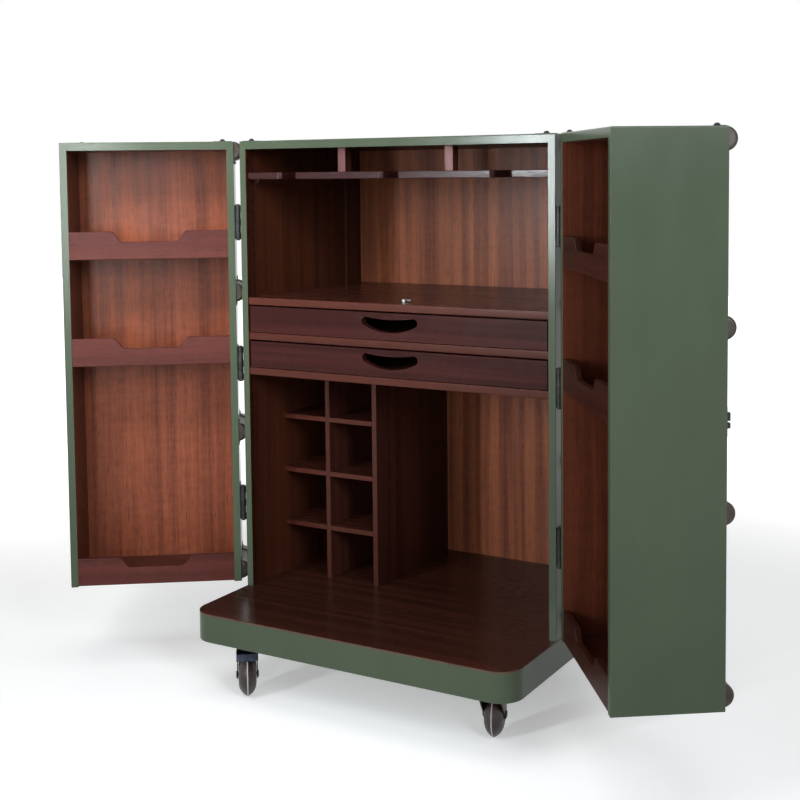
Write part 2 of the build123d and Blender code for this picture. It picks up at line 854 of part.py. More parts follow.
tray_low_places = [deck_z + height for height in tray_heights]
bottom_rail_z = door_z + bottom_rail_lift
door_rails = [tray_rail(low_z) for low_z in (*tray_low_places, bottom_rail_z)]
door_shelves = [door_inner_board(low_z, tray_board, door_inner_back_y) for low_z in tray_low_places]
door_trays = group(*door_rails, *door_shelves)

# Slats of a door: across its front and along its hinge side
front_run = corner_x - slat_corner_gap - meeting_x - slat_edge_gap
side_run = rim_y - slat_edge_gap - corner_y - slat_corner_gap
front_slats, front_caps = slat_row((meeting_x + slat_edge_gap, door_face_y), (0, -1, 0), front_run)
hinge_side_slats, hinge_side_caps = slat_row((half, corner_y + slat_corner_gap), (1, 0, 0), side_run)
door_slats = group(front_slats, hinge_side_slats)
door_caps = group(front_caps, hinge_side_caps)

door_plates = group(*[corner_plate(x, y) for x, y in door_plate_places])
door_leaves = group(*[hinge_leaf(height, -1, door_knuckles) for height in hinge_heights])

for side in ("left", "right"):
    nodes[f"{side}_door_front"] = hang(door_front, side)
    nodes[f"{side}_door_hinge_side"] = hang(door_hinge_side.part, side)
    nodes[f"{side}_door_meeting_side"] = hang(door_meeting_side.part, side)
    nodes[f"{side}_door_end_boards"] = hang(door_end_boards, side)
    nodes[f"{side}_door_lining"] = hang(door_lining, side)
    nodes[f"{side}_door_trays"] = hang(door_trays, side)
    nodes[f"{side}_door_slats"] = hang(door_slats, side)
    nodes[f"{side}_door_slat_caps"] = hang(door_caps, side)
    nodes[f"{side}_door_corner_plates"] = hang(door_plates, side)
    nodes[f"{side}_door_hinge_leaves"] = hang(door_leaves, side)

# Latch: a plate with two lugs on the right door and a hinged hasp on the left door
latch_z = hinge_heights[1]
lug_low_z = latch_z - (lug_upper_height + lug_lower_height + lug_slot) / 2
lug_upper_z = lug_low_z + lug_lower_height + lug_slot
lugs = ((lug_low_z, lug_lower_height), (lug_upper_z, lug_upper_height))
lug_low_x = meeting_x + latch_plate_gap + lug_setback
lug_depth = latch_plate_thickness + lug_reach
lug_front_y = door_face_y - lug_depth
with BuildPart() as latch_lugs:
    with BuildSketch(Plane.XZ.offset(-door_face_y)):
        with Locations((meeting_x + latch_plate_gap + latch_plate_width / 2, latch_z)):
            RectangleRounded(latch_plate_width, latch_height, latch_round)
    extrude(amount=latch_plate_thickness)
    for low_z, height in lugs:
        with Locations((lug_low_x, lug_front_y, low_z)):
            Box(lug_length, lug_depth, height, align=low_corner)
    outer_edges = latch_lugs.edges().filter_by(Axis.Z).group_by(Axis.Y)[0]
    fillet(outer_edges, radius=latch_plate_thickness)
    with Locations((lug_low_x + lug_length / 2, lug_front_y + 2 * lug_hole_radius, lug_low_z - overrun)):
        Cylinder(lug_hole_radius, lug_low_z - latch_z + latch_height, align=base_centre, mode=Mode.SUBTRACT)
nodes["latch_lugs"] = hang(latch_lugs.part, "right")

# The hasp and its mount are made on the closed left door
hasp_x = -meeting_x - hasp_axis_setback
hasp_y = door_face_y - latch_plate_thickness - latch_running_gap - hasp_thickness / 2
hasp_low_z = latch_z - hasp_height / 2
hasp_knuckle_low = latch_z - hasp_knuckle_height / 2
with BuildPart() as latch_hasp:
    with Locations((hasp_x, hasp_y - hasp_thickness / 2, hasp_low_z)):
        Box(hasp_length, hasp_thickness, hasp_height, align=low_corner)
    fillet(latch_hasp.edges().filter_by(Axis.Y).group_by(Axis.X)[-1], radius=latch_round)
    window_x = lug_low_x - hasp_window_margin
    for low_z, height in lugs:
        with Locations((window_x, hasp_y - hasp_thickness, low_z - hasp_bar_clearance)):
            Box(
                lug_length + 2 * hasp_window_margin,
                2 * hasp_thickness,
                height + 2 * hasp_bar_clearance,
                align=low_corner,
                mode=Mode.SUBTRACT,
            )
    for side in (-1, 1):
        with Locations((hasp_x, hasp_y, latch_z + side * (hasp_height + hasp_knuckle_height) / 4)):
            Box(
                2 * (hasp_knuckle_radius + latch_running_gap),
                2 * hasp_thickness,
                (hasp_height - hasp_knuckle_height) / 2,
                mode=Mode.SUBTRACT,
            )
    with Locations((hasp_x, hasp_y, hasp_knuckle_low)):
        Cylinder(hasp_knuckle_radius, hasp_knuckle_height, align=base_centre)
        Cylinder(
            hasp_pin_radius + running_clearance,
            hasp_knuckle_height,
            align=base_centre,
            mode=Mode.SUBTRACT,
        )

mount_knuckle = (latch_height - hasp_knuckle_height) / 4 - knuckle_gap
ear_y = door_face_y - latch_plate_thickness / 2
with BuildPart() as hasp_mount:
    with BuildSketch(Plane.XZ.offset(-door_face_y)):
        with Locations((hasp_x - hasp_knuckle_radius - hasp_mount_length / 2, latch_z)):
            RectangleRounded(hasp_mount_length, latch_height, latch_round)
    extrude(amount=latch_plate_thickness)
    for side in (-1, 1):
        knuckle_middle = latch_z + side * (hasp_knuckle_height / 2 + knuckle_gap + mount_knuckle / 2)
        with Locations((hasp_x, hasp_y, knuckle_middle)):
            Cylinder(hasp_knuckle_radius, mount_knuckle)
        with Locations((hasp_x - hasp_knuckle_radius, ear_y, knuckle_middle)):
            Box(2 * hasp_knuckle_radius, latch_plate_thickness, mount_knuckle)
    with Locations((hasp_x, hasp_y, latch_z)):
        Cylinder(hasp_pin_radius + running_clearance, latch_height, mode=Mode.SUBTRACT)
with BuildPart() as hasp_pin:
    with Locations((hasp_x, hasp_y, latch_z)):
        Cylinder(hasp_pin_radius, hasp_knuckle_height + 2 * (knuckle_gap + mount_knuckle))


def hang_left(piece):
    """Turn a piece that is drawn on the closed left door to where that door rests."""
    return piece.rotate(Axis((-hinge_x, 0, 0), (0, 0, 1)), -left_door_angle)


folded_hasp = latch_hasp.part.rotate(Axis((hasp_x, hasp_y, 0), (0, 0, 1)), 180)
nodes["latch_hasp"] = hang_left(folded_hasp)
nodes["latch_mount"] = hang_left(group(hasp_mount.part, hasp_pin.part))

# Castors: made once along +X, the direction in which the wheel trails, then placed
race_top_z = castor_height - castor_plate_thickness
head_top_z = race_top_z - race_height - race_gap
crown_top_z = head_top_z - head_height
crown_low_z = crown_top_z - crown_thickness
leg_inner = fork_half_width - fork_leg_thickness
brake_x = fork_crown_front + brake_barrel_radius + leg_inner / 6
brake_z = crown_top_z - crown_thickness / 2

with BuildPart() as castor_plate:
    with BuildSketch(Plane.XY.offset(race_top_z)):
        RectangleRounded(castor_plate_size, castor_plate_size, castor_plate_round)
    extrude(amount=castor_plate_thickness)
    with Locations((0, 0, race_top_z - race_height)):
        Cylinder(race_radius, race_height, align=base_centre)
    with Locations((0, 0, crown_low_z - race_gap)):
        Cylinder(king_pin_radius, race_top_z - crown_low_z + race_gap, align=base_centre)
    with Locations((0, 0, crown_low_z - race_gap - king_nut_height)):
        Cylinder(king_nut_radius, king_nut_height, align=base_centre)
    screw_place = castor_plate_size - 2 * castor_screw_inset
    with BuildSketch(Plane.XY.offset(race_top_z)):
        with GridLocations(screw_place, screw_place, 2, 2):
            Circle(castor_screw_radius)
    extrude(amount=-castor_screw_height)


def castor_fork(with_brake):
    """A fork with its axle bolt, and ears and a pin for the brake pedal where there is one."""
    with BuildPart() as fork:
        with Locations((0, 0, crown_top_z)):
            Cylinder(race_radius, head_height, align=base_centre)
        with Locations(((fork_crown_front - fork_crown_back) / 2, 0, crown_low_z)):
            Box(fork_crown_front + fork_crown_back, 2 * fork_half_width, crown_thickness, align=base_centre)
        with BuildSketch(Plane.XZ.offset(-leg_inner)):
            with BuildLine():
                Polyline(
                    (-fork_crown_back, crown_top_z),
                    (-fork_crown_back, crown_low_z),
                    (castor_trail - fork_foot_radius, wheel_radius),
                    (castor_trail + fork_foot_radius, wheel_radius),
                    (fork_crown_front + fork_foot_radius, crown_top_z),
                    close=True,
                )
            make_face()
            with Locations((castor_trail, wheel_radius)):
                Circle(fork_foot_radius)
            if with_brake:
                with Locations((brake_x, brake_z)):
                    Circle(brake_barrel_radius)
        extrude(amount=-fork_leg_thickness)
        mirror(about=Plane.XZ)
        with Locations((0, 0, crown_low_z)):
            Cylinder(
                king_pin_radius + running_clearance,
                crown_thickness + head_height,
                align=base_centre,
                mode=Mode.SUBTRACT,
            )
        with Locations((castor_trail, 0, wheel_radius)):
            Cylinder(
                axle_radius + running_clearance,
                2 * fork_half_width,
                rotation=(90, 0, 0),
                mode=Mode.SUBTRACT,
            )
        if with_brake:
            with Locations((brake_x, 0, brake_z)):
                Cylinder(brake_pin_radius, 2 * fork_half_width, rotation=(90, 0, 0))
    with BuildPart() as axle:
        with Locations((castor_trail, 0, wheel_radius)):
            Cylinder(axle_radius, 2 * (fork_half_width + axle_nut_thickness), rotation=(90, 0, 0))
        for side in (-1, 1):
            with Locations((castor_trail, side * (fork_half_width + axle_nut_thickness / 2), wheel_radius)):
                Cylinder(axle_nut_radius, axle_nut_thickness, rotation=(90, 0, 0))
    return group(fork.part, axle.part)


# Wheel: a crowned tread with a thin ridge round its middle, turned about the axle
with BuildPart() as castor_wheel:
    with BuildSketch(Plane.YZ.offset(castor_trail)):
        with BuildLine():
            side_z = 2 * wheel_radius - wheel_crown
            Polyline(
                (-wheel_half_width, side_z),
                (-wheel_half_width, wheel_radius + wheel_hub_radius),
                (-wheel_hub_half_width, wheel_radius + wheel_hub_radius),
                (-wheel_hub_half_width, wheel_radius + axle_radius + wheel_bore_clearance),
                (wheel_hub_half_width, wheel_radius + axle_radius + wheel_bore_clearance),
                (wheel_hub_half_width, wheel_radius + wheel_hub_radius),
                (wheel_half_width, wheel_radius + wheel_hub_radius),
                (wheel_half_width, side_z),
            )
            tread_z = 2 * wheel_radius - tread_ridge
            shoulder_share = 1 / sqrt(2)
            shoulder_y = wheel_half_width * shoulder_share
            shoulder_z = side_z + (tread_z - side_z) * shoulder_share
            ThreePointArc((wheel_half_width, side_z), (shoulder_y, shoulder_z), (tread_ridge, tread_z))
            Polyline(
                (tread_ridge, tread_z),
                (tread_ridge, 2 * wheel_radius),
                (-tread_ridge, 2 * wheel_radius),
                (-tread_ridge, tread_z),
            )
            ThreePointArc((-tread_ridge, tread_z), (-shoulder_y, shoulder_z), (-wheel_half_width, side_z))
        make_face()
    revolve(axis=Axis((castor_trail, 0, wheel_radius), (0, 1, 0)))

# Brake pedal: a bent plate that hinges between the fork's ears, over the wheel
pedal_top_z = brake_z + brake_barrel_radius
pedal_bend_x = brake_x + brake_reach
pedal_tip_x = pedal_bend_x + brake_slope
pedal_wide_x = fork_crown_front + fork_foot_radius + brake_ear_gap
with BuildPart() as castor_brake:
    with BuildSketch(Plane.XZ.offset(-brake_hinge_width / 2)) as pedal_side:
        with BuildLine():
            Polyline(
                (brake_x, pedal_top_z),
                (pedal_bend_x, pedal_top_z - brake_slope),
                (pedal_tip_x, brake_z - brake_drop),
                (pedal_tip_x - brake_thickness, brake_z - brake_drop),
                (pedal_bend_x - brake_thickness, pedal_top_z - brake_slope - brake_thickness),
                (brake_x, pedal_top_z - brake_thickness),
                close=True,
            )
        make_face()
        with Locations((brake_x, brake_z)):
            Circle(brake_barrel_radius)
    extrude(amount=brake_hinge_width)
    with BuildSketch(Plane.XZ.offset(-brake_width / 2)):
        add(pedal_side.sketch_local)
        with Locations((pedal_wide_x - castor_height, brake_z)):
            Rectangle(2 * castor_height, 2 * castor_height, mode=Mode.SUBTRACT)
    extrude(amount=brake_width)
    with Locations((brake_x, 0, brake_z)):
        Cylinder(
            brake_pin_radius + running_clearance,
            brake_hinge_width,
            rotation=(90, 0, 0),
            mode=Mode.SUBTRACT,
        )

castor_x = half - castor_inset
castor_front_y = -platform_overhang + castor_inset
castor_rear_y = case_back_y - castor_inset
castor_places = {
    "front_left": (-castor_x, castor_front_y),
    "front_right": (castor_x, castor_front_y),
    "rear_left": (-castor_x, castor_rear_y),
    "rear_right": (castor_x, castor_rear_y),
}
plates = []
for corner, (x, y) in castor_places.items():
    plates.append(castor_plate.part.moved(Location((x, y, 0))))
    placed = Location((x, y, 0), (0, 0, castor_directions[corner]))
    with_brake = corner.startswith("front")
    nodes[f"castor_fork_{corner}"] = castor_fork(with_brake).moved(placed)
    nodes[f"castor_wheel_{corner}"] = castor_wheel.part.moved(placed)
    if with_brake:
        nodes[f"castor_brake_{corner}"] = castor_brake.part.moved(placed)
nodes["castor_plates"] = group(*plates)

for name, piece in nodes.items():
    piece.label = name
    export_step(piece, f"parts/{name}.step")
print(len(nodes), "nodes")
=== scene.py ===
import bmesh
import bpy
import json
from math import cos, radians, sin
from mathutils import Matrix, Vector
from mathutils.bvhtree import BVHTree

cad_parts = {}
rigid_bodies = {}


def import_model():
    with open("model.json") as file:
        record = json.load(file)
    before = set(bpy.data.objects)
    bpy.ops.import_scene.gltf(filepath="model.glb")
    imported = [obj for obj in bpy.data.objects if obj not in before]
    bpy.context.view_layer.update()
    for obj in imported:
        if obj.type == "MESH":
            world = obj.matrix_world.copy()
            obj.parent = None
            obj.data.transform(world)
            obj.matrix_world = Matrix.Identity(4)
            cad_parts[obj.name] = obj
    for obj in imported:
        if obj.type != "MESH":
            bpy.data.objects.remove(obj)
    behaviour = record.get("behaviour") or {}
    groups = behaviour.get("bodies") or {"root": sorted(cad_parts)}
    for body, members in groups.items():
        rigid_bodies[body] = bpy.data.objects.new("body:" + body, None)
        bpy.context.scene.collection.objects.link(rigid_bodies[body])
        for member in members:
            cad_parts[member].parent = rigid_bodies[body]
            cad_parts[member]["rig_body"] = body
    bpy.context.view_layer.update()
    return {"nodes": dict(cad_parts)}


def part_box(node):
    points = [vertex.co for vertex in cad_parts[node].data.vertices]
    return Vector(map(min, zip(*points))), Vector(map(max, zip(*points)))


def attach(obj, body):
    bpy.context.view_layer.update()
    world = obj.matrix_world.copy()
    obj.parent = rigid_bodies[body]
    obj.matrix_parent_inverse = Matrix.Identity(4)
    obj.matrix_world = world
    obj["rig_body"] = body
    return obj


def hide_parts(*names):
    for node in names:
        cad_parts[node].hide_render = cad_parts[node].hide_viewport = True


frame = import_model()
scene = bpy.context.scene


# Driving sizes, in metres and degrees, in the order in which a maker would measure them
HALF_WIDTH = 0.379
LEFT_DOOR_ANGLE = 144
RIGHT_DOOR_ANGLE = 126
HINGE_X = 0.3864
DECK_Z = 0.181
TOP_Z = 1.181
BACK_Y = 0.481
CORNER_RADIUS = 0.049
DOOR_FACE_Y = -0.201
DOOR_RIM_Y = -0.001
MEETING_X = 0.0005
BOARD = 0.012
WALL = 0.016
SLAT_COUNT = 4
SLAT_PITCH = 0.316
LOWEST_SLAT_Z = DECK_Z + 0.031
SLAT_HALF_HEIGHT = 0.019
SLAT_DEPTH = 0.018
CAP_LENGTH = 0.034
CAP_OVERLAP = 0.002
SLAT_EDGE_GAP = 0.009
SLAT_CORNER_GAP = 0.006
CASE_SLAT_SETBACK = 0.060
NAIL_SPACING = 0.078
NAIL_RADIUS = 0.0034
NAIL_HEIGHT = 0.0018
NAIL_CAP_GAP = 0.012
BARREL_LENGTH = 0.076
LEAF_THICKNESS = 0.0025
LEAF_GAP = 0.005
LEAF_LENGTH = 0.040
LEAF_SCREW_RADIUS = 0.0036
LEAF_SCREW_HEIGHT = 0.0018
LEAF_SCREW_LIFT = 0.0009
LEAF_SLOT_WIDTH = 0.0010
CASTOR_SCREW_RADIUS = 0.0054
CASTOR_SCREW_HEIGHT = 0.0028
CASTOR_SCREW_LIFT = 0.0013
CASTOR_SLOT_WIDTH = 0.0014
CASTOR_PLATE_THICKNESS = 0.004
CASTOR_SCREW_REACH = 0.022
CASTOR_TOP_Z = 0.120
CASTOR_X = 0.294
CASTOR_FRONT_Y = -0.118
CASTOR_REAR_Y = 0.396
HANGING_POST_REACH = 0.2
DOOR_FOOT_HEIGHT = 0.03
CASTOR_DIRECTIONS = {"front_left": -52.6, "front_right": 106.6, "rear_left": 128, "rear_right": 84}

# Where the inside ends: behind the lining, at a board's own face, at a door's rim and below the top
LINING_REACH = 0.0044
FACE_MARGIN = 0.0004
RIM_DEPTH = 0.0014
CEILING_DROP = 0.0136

# Cleaning of the meshes: faces larger than FLAT_FACE_AREA square metres are shaded flat
FLAT_FACE_AREA = 0.012
WELD_DISTANCE = 0.00002
COPLANAR_DEGREES = 0.6
SHARP_DEGREES = 38
NAIL_SMOOTH_DEGREES = 80

# How squarely a face must look in a direction: flat faces, and those with rounded edges
SQUARE_FACING = 0.9
ROUNDED_FACING = 0.6

# Screw heads: crown, slot length and slot height as shares of the head, and the most a slot is turned
SCREW_CROWN = 0.78
SLOT_LENGTH = 2.4
SLOT_LIFT = 1.08
SLOT_TURN = 3.14

# Relief of the finishes
WOOD_RELIEF = 0.22
LACQUER_RELIEF = 0.10
RELIEF_DEPTH = 0.0004
RIPPLE_DEPTH = 0.00015

# Heights and corners worked out from the sizes
SLAT_HEIGHTS = [LOWEST_SLAT_Z + SLAT_PITCH * row for row in range(SLAT_COUNT)]
HINGE_HEIGHTS = [height + SLAT_PITCH / 2 for height in SLAT_HEIGHTS[:-1]]
CORNER_X = HALF_WIDTH - CORNER_RADIUS
INNER_X = HALF_WIDTH - WALL


def door_matrix(side):
    """Takes a place on the closed right-hand door to where the named door rests open."""
    if side == "case":
        return Matrix.Identity(4)
    angle = radians(RIGHT_DOOR_ANGLE if side == "right" else LEFT_DOOR_ANGLE)
    hinge = Vector((HINGE_X, 0, 0))
    opened = Matrix.Translation(hinge) @ Matrix.Rotation(angle, 4, "Z") @ Matrix.Translation(-hinge)
    if side == "right":
        return opened
    return Matrix.Scale(-1, 4, (1, 0, 0)) @ opened


def grain_turn(side):
    """How far a door's grain is turned about Z from the closed door's, in radians."""
    if side == "case":
        return 0
    return radians(RIGHT_DOOR_ANGLE) if side == "right" else -radians(LEFT_DOOR_ANGLE)


# Tools for building trees of nodes

def add_node(tree, kind, **settings):
    """A new node in a tree, with its settings."""
    node = tree.nodes.new(kind)
    for name, value in settings.items():
        setattr(node, name, value)
    return node


def feed(tree, socket, value):
    """Join an output to a socket, or set the socket to a value."""
    if hasattr(value, "is_output"):
        tree.links.new(value, socket)
    else:
        socket.default_value = value


def maths(tree, operation, first, second=0.0, third=None):
    """One sum on two or three values."""
    node = add_node(tree, "ShaderNodeMath", operation=operation)
    feed(tree, node.inputs[0], first)
    feed(tree, node.inputs[1], second)
    if third is not None:
        feed(tree, node.inputs[2], third)
    return node.outputs[0]


def ramp(tree, value, low, high, to_low=0.0, to_high=1.0):
    """A smooth step of a value between two levels."""
    node = add_node(tree, "ShaderNodeMapRange", interpolation_type="SMOOTHSTEP")
    for socket, setting in zip(node.inputs[:5], (value, low, high, to_low, to_high)):
        feed(tree, socket, setting)
    return node.outputs[0]


def blend_colours(tree, share, first, second):
    """A mix of two colours, by a share from 0 to 1."""
    node = add_node(tree, "ShaderNodeMix", data_type="RGBA")
    feed(tree, node.inputs["Factor"], share)
    feed(tree, node.inputs[6], first)
    feed(tree, node.inputs[7], second)
    return node.outputs[2]


def noise(tree, vector, scale, detail=3.0, roughness=0.5):
    """Smooth noise from 0 to 1."""
    node = add_node(tree, "ShaderNodeTexNoise")
    feed(tree, node.inputs["Vector"], vector)
    feed(tree, node.inputs["Scale"], scale)
    feed(tree, node.inputs["Detail"], detail)
    feed(tree, node.inputs["Roughness"], roughness)
    return node.outputs["Fac"]


def stretched(tree, vector, scale, turn=(0, 0, 0), shift=(0, 0, 0)):
    """Coordinates scaled, turned and moved."""
    node = add_node(tree, "ShaderNodeMapping")
    feed(tree, node.inputs["Vector"], vector)
    node.inputs["Location"].default_value = shift
    node.inputs["Rotation"].default_value = turn
    node.inputs["Scale"].default_value = scale
    return node.outputs[0]


def new_group(name, inputs, outputs, kind="ShaderNodeTree"):
    """A node group with named sockets: inputs are (name, type, value) and outputs (name, type)."""
    group = bpy.data.node_groups.new(name, kind)
    for socket_name, socket_kind, value in inputs:
        socket = group.interface.new_socket(socket_name, in_out="INPUT", socket_type=socket_kind)
        if value is not None:
            socket.default_value = value
    for socket_name, socket_kind in outputs:
        group.interface.new_socket(socket_name, in_out="OUTPUT", socket_type=socket_kind)
    return group, group.nodes.new("NodeGroupInput").outputs, group.nodes.new("NodeGroupOutput").inputs


FLOAT = "NodeSocketFloat"
COLOUR = "NodeSocketColor"
VECTOR = "NodeSocketVector"
GEOMETRY = "NodeSocketGeometry"
MATERIAL = "NodeSocketMaterial"
EFFECT_OUTPUTS = [("Color", COLOUR), ("Roughness", FLOAT), ("Height", FLOAT)]


def wood_grain_group():
    """Ribbon-striped mahogany, along the X axis of Vector: stripes, fine bands, cross mottle and pores."""
    group, given, out = new_group(
        "mahogany grain",
        [("Vector", VECTOR, None), ("Dark", COLOUR, (0.03, 0.01, 0.005, 1)),
         ("Light", COLOUR, (0.2, 0.06, 0.02, 1)), ("Stripes", FLOAT, 0.6), ("Pores", FLOAT, 0.5)],
        EFFECT_OUTPUTS,
    )
    sway = noise(group, stretched(group, given["Vector"], (1.4, 4, 4)), 1.0, 2.0)
    swayed = add_node(group, "ShaderNodeVectorMath", operation="MULTIPLY_ADD")
    feed(group, swayed.inputs[0], sway)
    swayed.inputs[1].default_value = (0, 0.022, 0.022)
    feed(group, swayed.inputs[2], given["Vector"])
    along = swayed.outputs[0]
    broad = noise(group, stretched(group, along, (0.6, 11, 11)), 1.0, 2.0, 0.5)
    stripes = noise(group, stretched(group, along, (0.55, 46, 46)), 1.0, 2.0, 0.5)
    bands = noise(group, stretched(group, along, (1.6, 150, 150)), 1.0, 3.0, 0.6)
    fibres = noise(group, stretched(group, along, (11, 520, 520)), 1.0, 2.0, 0.6)
    pores = noise(group, stretched(group, along, (34, 1000, 1000)), 1.0, 1.0, 0.4)
    mottle = noise(group, stretched(group, given["Vector"], (75, 26, 26)), 1.0, 2.0, 0.5)
    stripe = maths(group, "MULTIPLY", ramp(group, stripes, 0.37, 0.63), given["Stripes"])
    base = maths(group, "MULTIPLY_ADD", ramp(group, broad, 0.3, 0.7), 0.40, stripe)
    fine = maths(group, "MULTIPLY_ADD", ramp(group, bands, 0.32, 0.68), 0.26, base)
    thread = maths(group, "MULTIPLY_ADD", ramp(group, fibres, 0.3, 0.7), 0.14, fine)
    cross = maths(group, "MULTIPLY_ADD", ramp(group, mottle, 0.3, 0.7), 0.14, thread)
    tone = maths(group, "DIVIDE", cross, maths(group, "ADD", given["Stripes"], 0.94))
    timber = blend_colours(group, tone, given["Dark"], given["Light"])
    pore = maths(group, "MULTIPLY", ramp(group, pores, 0.60, 0.68), given["Pores"])
    feed(group, out["Color"], blend_colours(group, pore, timber, (0.010, 0.004, 0.004, 1)))
    rough = maths(group, "MULTIPLY", tone, 0.08)
    feed(group, out["Roughness"], maths(group, "MULTIPLY_ADD", pore, 0.25, rough))
    threads = maths(group, "MULTIPLY", fibres, 0.35)
    feed(group, out["Height"], maths(group, "MULTIPLY_ADD", pore, -1.0, threads))
    return group


def lacquer_group():
    """Sprayed lacquer: slow shifts of tone, a faint ripple and dust specks."""
    group, given, out = new_group(
        "sprayed lacquer",
        [("Vector", VECTOR, None), ("Deep", COLOUR, (0.07, 0.1, 0.06, 1)),
         ("Pale", COLOUR, (0.1, 0.13, 0.08, 1))],
        EFFECT_OUTPUTS,
    )
    shift = noise(group, given["Vector"], 3.2, 3.0, 0.5)
    ripple = noise(group, given["Vector"], 420.0, 2.0, 0.5)
    brushed = noise(group, stretched(group, given["Vector"], (14, 14, 5)), 1.0, 4.0, 0.6)
    specks = noise(group, given["Vector"], 1500.0, 1.0, 0.5)
    drift = maths(group, "MULTIPLY", shift, 0.6)
    tone = maths(group, "MULTIPLY_ADD", ramp(group, brushed, 0.3, 0.7), 0.4, drift)
    body = blend_colours(group, tone, given["Deep"], given["Pale"])
    speck = maths(group, "MULTIPLY", ramp(group, specks, 0.70, 0.76), 0.25)
    feed(group, out["Color"], blend_colours(group, speck, body, (0.16, 0.19, 0.14, 1)))
    feed(group, out["Roughness"], maths(group, "MULTIPLY", brushed, 0.12))
    feed(group, out["Height"], ripple)
    return group


def patina_group():
    """Bronzed metal: dark recesses, rubbed highlights, pits and fine scratches."""
    group, given, out = new_group(
        "rubbed patina",
        [("Vector", VECTOR, None), ("Dark", COLOUR, (0.02, 0.015, 0.01, 1)),
         ("Rubbed", COLOUR, (0.2, 0.15, 0.1, 1)), ("Grain size", FLOAT, 260.0), ("Rub", FLOAT, 0.5)],
        EFFECT_OUTPUTS,
    )
    mottle = noise(group, given["Vector"], given["Grain size"], 4.0, 0.65)
    broad = noise(group, given["Vector"], maths(group, "MULTIPLY", given["Grain size"], 0.17), 2.0, 0.5)
    scratches = noise(group, stretched(group, given["Vector"], (1, 1, 0.06)), 1800.0, 1.0, 0.5)
    level = maths(group, "MULTIPLY_ADD", mottle, 0.6, maths(group, "MULTIPLY", broad, 0.4))
    worn = maths(group, "MULTIPLY", ramp(group, level, 0.42, 0.66), given["Rub"])
    scratch = maths(group, "MULTIPLY", ramp(group, scratches, 0.66, 0.74), 0.4)
    bare = maths(group, "MAXIMUM", worn, scratch)
    feed(group, out["Color"], blend_colours(group, bare, given["Dark"], given["Rubbed"]))
    dulled = maths(group, "MULTIPLY", mottle, 0.2)
    feed(group, out["Roughness"], maths(group, "MULTIPLY_ADD", worn, -0.18, dulled))
    scored = maths(group, "MULTIPLY", scratch, -0.6)
    feed(group, out["Height"], maths(group, "MULTIPLY_ADD", mottle, 0.8, scored))
    return group


GRAIN = wood_grain_group()
LACQUER = lacquer_group()
PATINA = patina_group()
GRAIN_TURNS = {"X": (0, 0, 0), "Z": (0, radians(90), 0)}


def start_material(name, roughness, metallic=0.0, specular=0.5):
    """A material with a Principled shader, and its tree, shader and object coordinates."""
    material = bpy.data.materials.new(name)
    material.use_nodes = True
    tree = material.node_tree
    shader = tree.nodes["Principled BSDF"]
    shader.inputs["Roughness"].default_value = roughness
    shader.inputs["Metallic"].default_value = metallic
    shader.inputs["Specular IOR Level"].default_value = specular
    coordinates = add_node(tree, "ShaderNodeTexCoord").outputs["Object"]
    return material, tree, shader, coordinates


def use_group(tree, shader, group, settings, base_roughness, bump_strength, bump_depth):
    """Place an effect group and join its colour, roughness and relief to the shader."""
    node = add_node(tree, "ShaderNodeGroup", node_tree=group)
    for name, value in settings.items():
        feed(tree, node.inputs[name], value)
    feed(tree, shader.inputs["Base Color"], node.outputs["Color"])
    feed(tree, shader.inputs["Roughness"], maths(tree, "ADD", node.outputs["Roughness"], base_roughness))
    bump = add_node(tree, "ShaderNodeBump")
    bump.inputs["Strength"].default_value = bump_strength
    bump.inputs["Distance"].default_value = bump_depth
    feed(tree, bump.inputs["Height"], node.outputs["Height"])
    feed(tree, shader.inputs["Normal"], bump.outputs[0])
    return node


def wood(name, grain, dark, light, side="case", stripes=0.6, pores=0.45, gloss=0.26, shift=(0, 0, 0),
         shine=0.12):
    """Stained and varnished mahogany, with its grain along an axis of the closed case."""
    material, tree, shader, coordinates = start_material(name, gloss, specular=shine)
    level = stretched(tree, coordinates, (1, 1, 1), (0, 0, -grain_turn(side)))
    board = stretched(tree, level, (1, 1, 1), GRAIN_TURNS[grain], shift)
    settings = {"Vector": board, "Dark": (*dark, 1), "Light": (*light, 1), "Stripes": stripes, "Pores": pores}
    use_group(tree, shader, GRAIN, settings, gloss, WOOD_RELIEF, RELIEF_DEPTH)
    return material


def lacquer(name, deep, pale, gloss=0.18):
    """Sprayed satin lacquer between two near tones."""
    material, tree, shader, coordinates = start_material(name, gloss, specular=0.17)
    use_group(tree, shader, LACQUER, {"Vector": coordinates, "Deep": (*deep, 1), "Pale": (*pale, 1)},
              gloss - 0.05, LACQUER_RELIEF, RIPPLE_DEPTH)
    return material


def metal(name, dark, rubbed, metallic, gloss, grain_size, rub, relief):
    """Aged metal, dark with rubbed places."""
    material, tree, shader, coordinates = start_material(name, gloss, metallic)
    use_group(tree, shader, PATINA, {"Vector": coordinates, "Dark": (*dark, 1), "Rubbed": (*rubbed, 1),
                                     "Grain size": grain_size, "Rub": rub}, gloss, relief, RELIEF_DEPTH)
    return material


